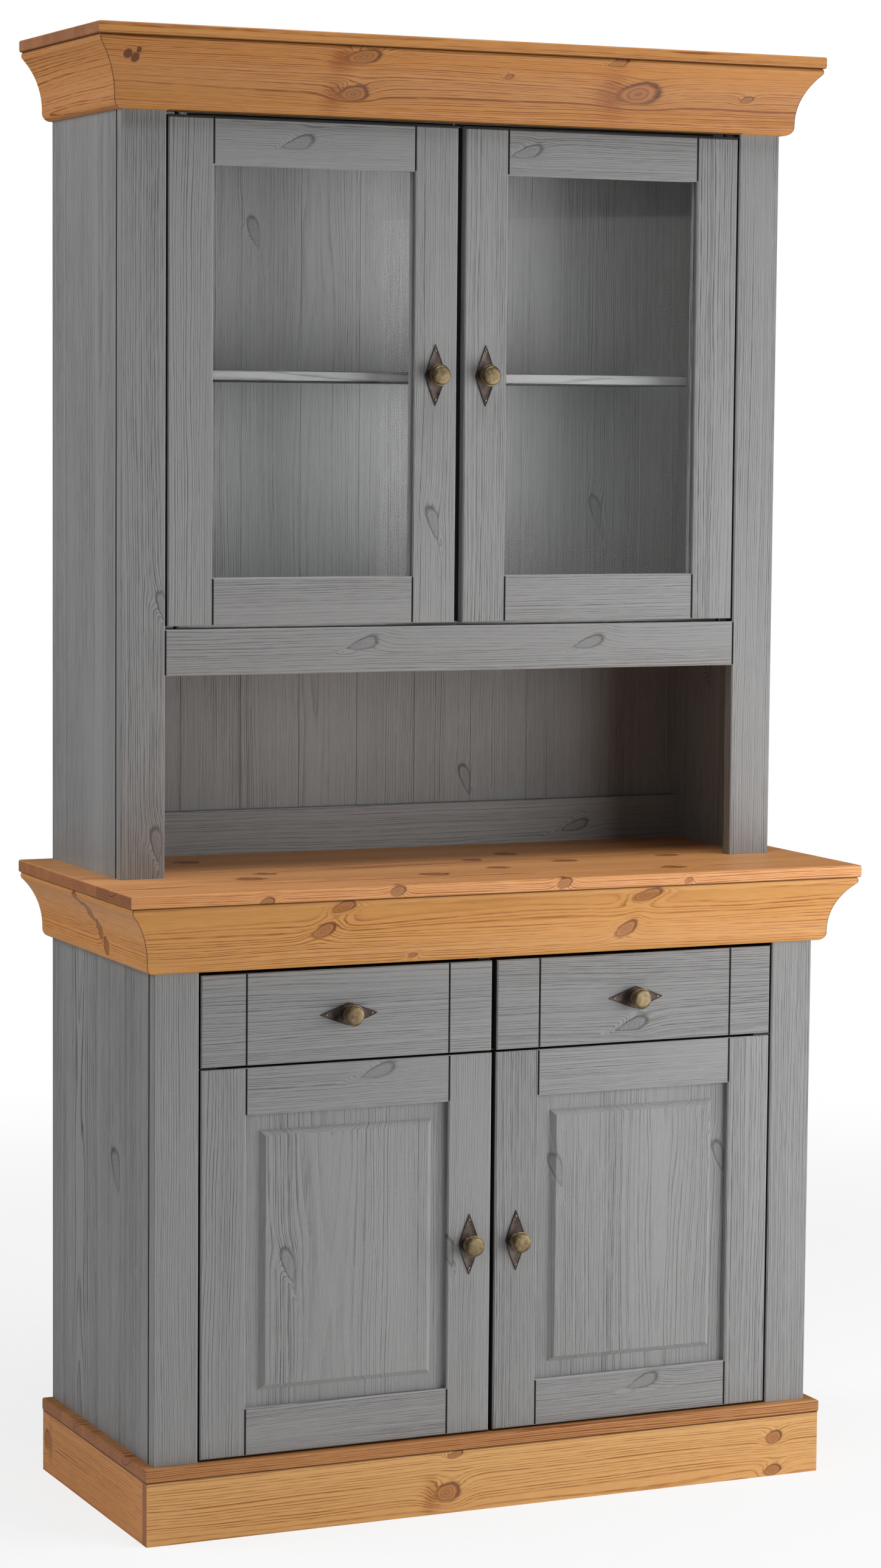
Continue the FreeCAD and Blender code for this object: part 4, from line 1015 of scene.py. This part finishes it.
def closed_shell(rows):
    """Points and faces of a surface closed at both ends. rows is an array (rows, columns, 3); each row is a
    closed ring, and the first and last rows are shut by fans from their middles. The faces are turned round
    when the volume inside them comes out negative, so that they point outward."""
    count, columns = rows.shape[:2]
    points = np.concatenate([rows.reshape(-1, 3), rows[0].mean(0)[None], rows[-1].mean(0)[None]])
    here = np.arange(count * columns).reshape(count, columns)
    after = np.roll(here, -1, axis=1)
    quads = np.stack([here[:-1], after[:-1], after[1:], here[1:]], axis=-1).reshape(-1, 4)
    first = np.stack([np.full(columns, count * columns), after[0], here[0]], axis=1)
    last = np.stack([np.full(columns, count * columns + 1), here[-1], after[-1]], axis=1)
    triangles = np.concatenate([quads[:, :3], quads[:, [0, 2, 3]], first, last])
    one, two, three = (points - points.mean(0))[triangles.T]
    order = 1 if (one * np.cross(two, three)).sum() > 0 else -1
    return points, quads[:, ::order].tolist() + first[:, ::order].tolist() + last[:, ::order].tolist()


def turned_shell(profile, centre, columns):
    """A profile of (radius, distance to the front) in millimetres carried round an axis that points forward:
    x = r cos a, z = r sin a, y = minus the distance."""
    angle = np.linspace(0, 2 * np.pi, columns, endpoint=False)
    radius, front = profile[:, 0:1], profile[:, 1:2]
    rows = np.stack([radius * np.cos(angle), -front + 0 * angle, radius * np.sin(angle)], axis=-1)
    return closed_shell(rows / 1000 + np.array(centre))


def plate_shell(long_half, short_half, upright, centre, section, blunt=1.05, per_side=24):
    """A section of (scale, height) carried round a lozenge. The outline is |u| + |w| = 1, bent by a power
    slightly above one, which blunts the tips and swells the sides a little."""
    step = np.arange(4 * per_side) / per_side
    corner = np.array([[1, 0], [0, 1], [-1, 0], [0, -1], [1, 0]], float)
    side = step.astype(int)
    share = (step - side)[:, None]
    outline = corner[side] * (1 - share) + corner[side + 1] * share
    outline /= (np.abs(outline) ** blunt).sum(1, keepdims=True) ** (1 / blunt)
    wide, tall = (short_half, long_half) if upright else (long_half, short_half)
    scale, height = section[:, 0:1], section[:, 1:2]
    rows = np.stack([scale * outline[:, 0] * wide, -height + 0 * outline[:, 0], scale * outline[:, 1] * tall],
                    axis=-1)
    return closed_shell(rows / 1000 + np.array(centre))


points, faces = turned_shell(np.array([(10.0, 10.0), (10.0, 0.0)]), (0, 0, 0), 32)
print("a test cylinder has", len(points), "points and", len(faces), "faces")

# %% [markdown]
# ## Profiles of the pull
# The knob has a domed cap, a groove, a flange and a neck; the plate has a raised border with a flat field in
# it. Pins hold the plate at its tips, and a screw from behind holds the knob. Each profile starts on its
# axis, in millimetres of radius, or share of the lozenge, and of height over the door.

# %% Profiles of the pull


def along_profile(marks, steps, blur):
    """A polyline resampled evenly by length and softened by a moving average, so its corners are rounded."""
    marks = np.array(marks, float)
    run = np.concatenate([[0], np.cumsum(np.hypot(*np.diff(marks, axis=0).T))])
    spots = np.linspace(0, run[-1], steps)
    line = np.stack([np.interp(spots, run, marks[:, 0]), np.interp(spots, run, marks[:, 1])], axis=1)
    padded = np.pad(line, ((blur, blur), (0, 0)), mode="edge")
    window = np.ones(2 * blur + 1) / (2 * blur + 1)
    smooth = np.stack([np.convolve(padded[:, k], window, "valid") for k in (0, 1)], axis=1)
    smooth[0], smooth[-1] = line[0], line[-1]
    return smooth


KNOB = along_profile([(0.2, 22.9), (4, 22.85), (8, 22.65), (10.2, 22.3), (11.6, 21.6), (12.2, 20.6),
                      (12.3, 18.4), (11.7, 17.7), (12.4, 17.5), (13.5, 17.3), (13.8, 16.7), (13.8, 15.9),
                      (13.2, 15.3), (10.5, 14.3), (8.0, 12.6), (6.7, 10.2), (6.3, 7.2), (6.9, 4.4),
                      (8.3, 2.6), (9.0, 1.7), (9.0, 1.25), (0.2, 1.25)], 150, 1)
PLATE = np.array([(0.02, 1.2), (0.5, 1.2), (0.9, 1.2), (0.915, 1.28), (0.93, 1.52), (0.945, 1.66),
                  (0.965, 1.7), (0.985, 1.62), (0.997, 1.4), (1.0, 1.1), (1.0, 0.15), (0.995, 0.0),
                  (0.5, 0.0), (0.02, 0.0)])
PIN = along_profile([(0.05, 2.35), (0.7, 2.25), (1.2, 1.9), (1.4, 1.4), (1.4, 1.15), (0.05, 1.15)], 24, 1)
SCREW = along_profile([(0.05, -3.4), (2.6, -3.2), (3.9, -2.5), (4.2, -1.3), (4.2, -1.0), (7.0, -1.0),
                       (7.4, -0.7), (7.4, 0.0), (0.05, 0.0)], 60, 1)
print("knob profile points:", len(KNOB), "plate section points:", len(PLATE))

# %% [markdown]
# ## Aged brass
# The pulls were dipped to look old: brown in the hollows, brighter where hands rub. Brass is a metal, so its
# colour goes into the reflection. Cloudy noise gives the tones, and a Bevel node finds the edges.

# %% Aged brass
RUBBED_WIDTH = 0.0009


def worn_edge(nodes, width):
    """How much a point lies on an edge: the part by which a rounded normal leaves the flat one."""
    soft = nodes.add("Bevel", {"Radius": width}, samples=4).outputs[0]
    flat = nodes.add("NewGeometry").outputs["Normal"]
    return nodes.fade(nodes.minus(1.0, nodes.vec("DOT_PRODUCT", soft, flat)), 0.02, 0.22)


def aged_brass(name, bright, middle, dark, rough_low, rough_high, scale):
    """Brass left to darken: three tones by cloudy noise, polished where hands rub."""
    material, n = new_finish(name)
    place = n.add("TexCoord").outputs["Object"]
    cloud = n.noise(place, (scale, scale, scale), 4.0, 0.6).outputs[0]
    fine = n.noise(place, (scale * 9, scale * 9, scale * 9), 2.0).outputs[0]
    mixed = n.weigh(fine, 0.25, n.times(cloud, 0.85))
    rubbed = worn_edge(n, RUBBED_WIDTH)
    colour = n.ramp(mixed, [(0.36, dark), (0.52, middle), (0.7, bright)])
    colour = n.mix(n.times(rubbed, 0.6), colour, (*bright, 1.0))
    rough = n.weigh(mixed, rough_high - rough_low, rough_low)
    bump = n.add("Bump", {"Height": mixed, "Strength": 0.12, "Distance": 0.0003})
    shader_out(n, Base_Color=colour, Metallic=1.0, Roughness=rough, Normal=bump.outputs[0])
    return material


knob_brass = aged_brass("knob_brass", srgb(136, 121, 94), srgb(115, 100, 75), srgb(84, 71, 54),
                        0.34, 0.56, 190)
plate_bronze = aged_brass("plate_bronze", srgb(98, 88, 83), srgb(82, 73, 69), srgb(64, 57, 54),
                          0.42, 0.6, 140)
pin_brass = aged_brass("pin_brass", srgb(190, 178, 152), srgb(160, 146, 118), srgb(130, 115, 90),
                       0.2, 0.4, 400)
print("brasses:", knob_brass.name, plate_bronze.name, pin_brass.name)

# %% [markdown]
# ## Six pulls
# The model has a plain pull on each door and drawer. The finer pieces are made at its place, ride on the same
# door and stand in for it. On a door the plate is upright, on a drawer it lies.

# %% Six pulls
PIN_PLACE = 0.795
KNOB_COLUMNS, PIN_COLUMNS, SCREW_COLUMNS = 64, 20, 32


def make_pull(body, upright):
    """Plate, pins, knob and the screw behind, in place of the plain solid of one pull."""
    node = body + "_handle"
    low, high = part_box(node)
    face = ((low.x + high.x) / 2, high.y, (low.z + high.z) / 2)
    front_node = body + ("_stiles" if body + "_stiles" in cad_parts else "_front")
    back = (face[0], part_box(front_node)[1].y, face[2])
    # half sizes in millimetres
    wide, tall = (high.x - low.x) * 500, (high.z - low.z) * 500
    long_half, short_half = max(wide, tall), min(wide, tall)
    made = {"plate": (plate_shell(long_half, short_half, upright, face, PLATE), plate_bronze),
            "knob": (turned_shell(KNOB, face, KNOB_COLUMNS), knob_brass)}
    for name, sign in (("pin_1", -1), ("pin_2", 1)):
        reach = sign * PIN_PLACE * long_half / 1000
        spot = (face[0], face[1], face[2] + reach) if upright else (face[0] + reach, face[1], face[2])
        made[name] = (turned_shell(PIN, spot, PIN_COLUMNS), pin_brass)
    made["screw"] = (turned_shell(SCREW[::-1], back, SCREW_COLUMNS), steel)
    for name, ((points, faces), finish) in made.items():
        piece = link_mesh(body + "_pull_" + name, points, faces, smooth=True)
        piece.data.materials.append(finish)
        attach(piece, body)
        if name != "screw":
            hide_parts(node)


for body, upright in (("upper_left_door", True), ("upper_right_door", True), ("lower_left_door", True),
                      ("lower_right_door", True), ("left_drawer", False), ("right_drawer", False)):
    make_pull(body, upright)

# %% [markdown]
# ## Stop beads
# Light would show through the gaps round the upper doors, so a thin bead of wood is glued along the meeting
# edge and along the tops, and it is painted near black as painted shade in the gaps. Its section is half of
# an oval; it is carried along a straight line. A plain box would do as well, but its sharp edges would catch
# light that a bead does not.

# %% Beads on the upper doors
MEETING_RISE, TOP_RISE, BEAD_HALF = 0.0042, 0.0034, 0.0022
BEAD_INSET, END_GAP, HINGE_GAP, OVER_GAP = 0.0026, 0.001, 0.03, 0.0095
ARC_POINTS, PATH_POINTS = 13, 9
# the beads are painted near black: painted shade in the gaps round the upper doors
BEAD_PITH, BEAD_SEED, SHADE_BLACK = (0.3, 0.2, 0.0), 120.5, 0.05


def bead_shell(start, end, rise, side, half_width):
    """A half oval carried from start to end: at the angle a its offset is rise times sin a out of the edge
    and half_width times cos a along the edge, closed by its flat foot."""
    angle = np.linspace(0.0, np.pi, ARC_POINTS)[:, None]
    section = np.sin(angle) * np.array(rise) + np.cos(angle) * half_width * np.array(side)
    share = np.linspace(0.0, 1.0, PATH_POINTS)[:, None, None]
    path = (1 - share) * np.array(start) + share * np.array(end)
    return closed_shell(path + section[None])


def add_bead(name, body, shell):
    """One bead painted near black as painted shade, riding on its door."""
    piece = link_mesh(name, *shell)
    piece.data.materials.append(painted_pine(name + "_paint", "z", BEAD_PITH, BEAD_SEED, level=SHADE_BLACK))
    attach(piece, body)


low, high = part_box("upper_right_door_stiles")
depth = high.y - BEAD_INSET
foot, head = (low.x, depth, low.z + END_GAP), (low.x, depth, high.z - END_GAP)
add_bead("upper_right_door_meeting_bead", "upper_right_door",
         bead_shell(foot, head, (-MEETING_RISE, 0, 0), (0, -1, 0), BEAD_HALF))
for side in ("left", "right"):
    low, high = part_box("upper_%s_door_stiles" % side)
    start, end = low.x + HINGE_GAP, high.x - END_GAP
    if side == "right":
        start, end = low.x - OVER_GAP, high.x - HINGE_GAP
    start, end = (start, depth, high.z), (end, depth, high.z)
    add_bead("upper_%s_door_top_bead" % side, "upper_%s_door" % side,
             bead_shell(start, end, (0, 0, TOP_RISE), (0, -1, 0), BEAD_HALF))
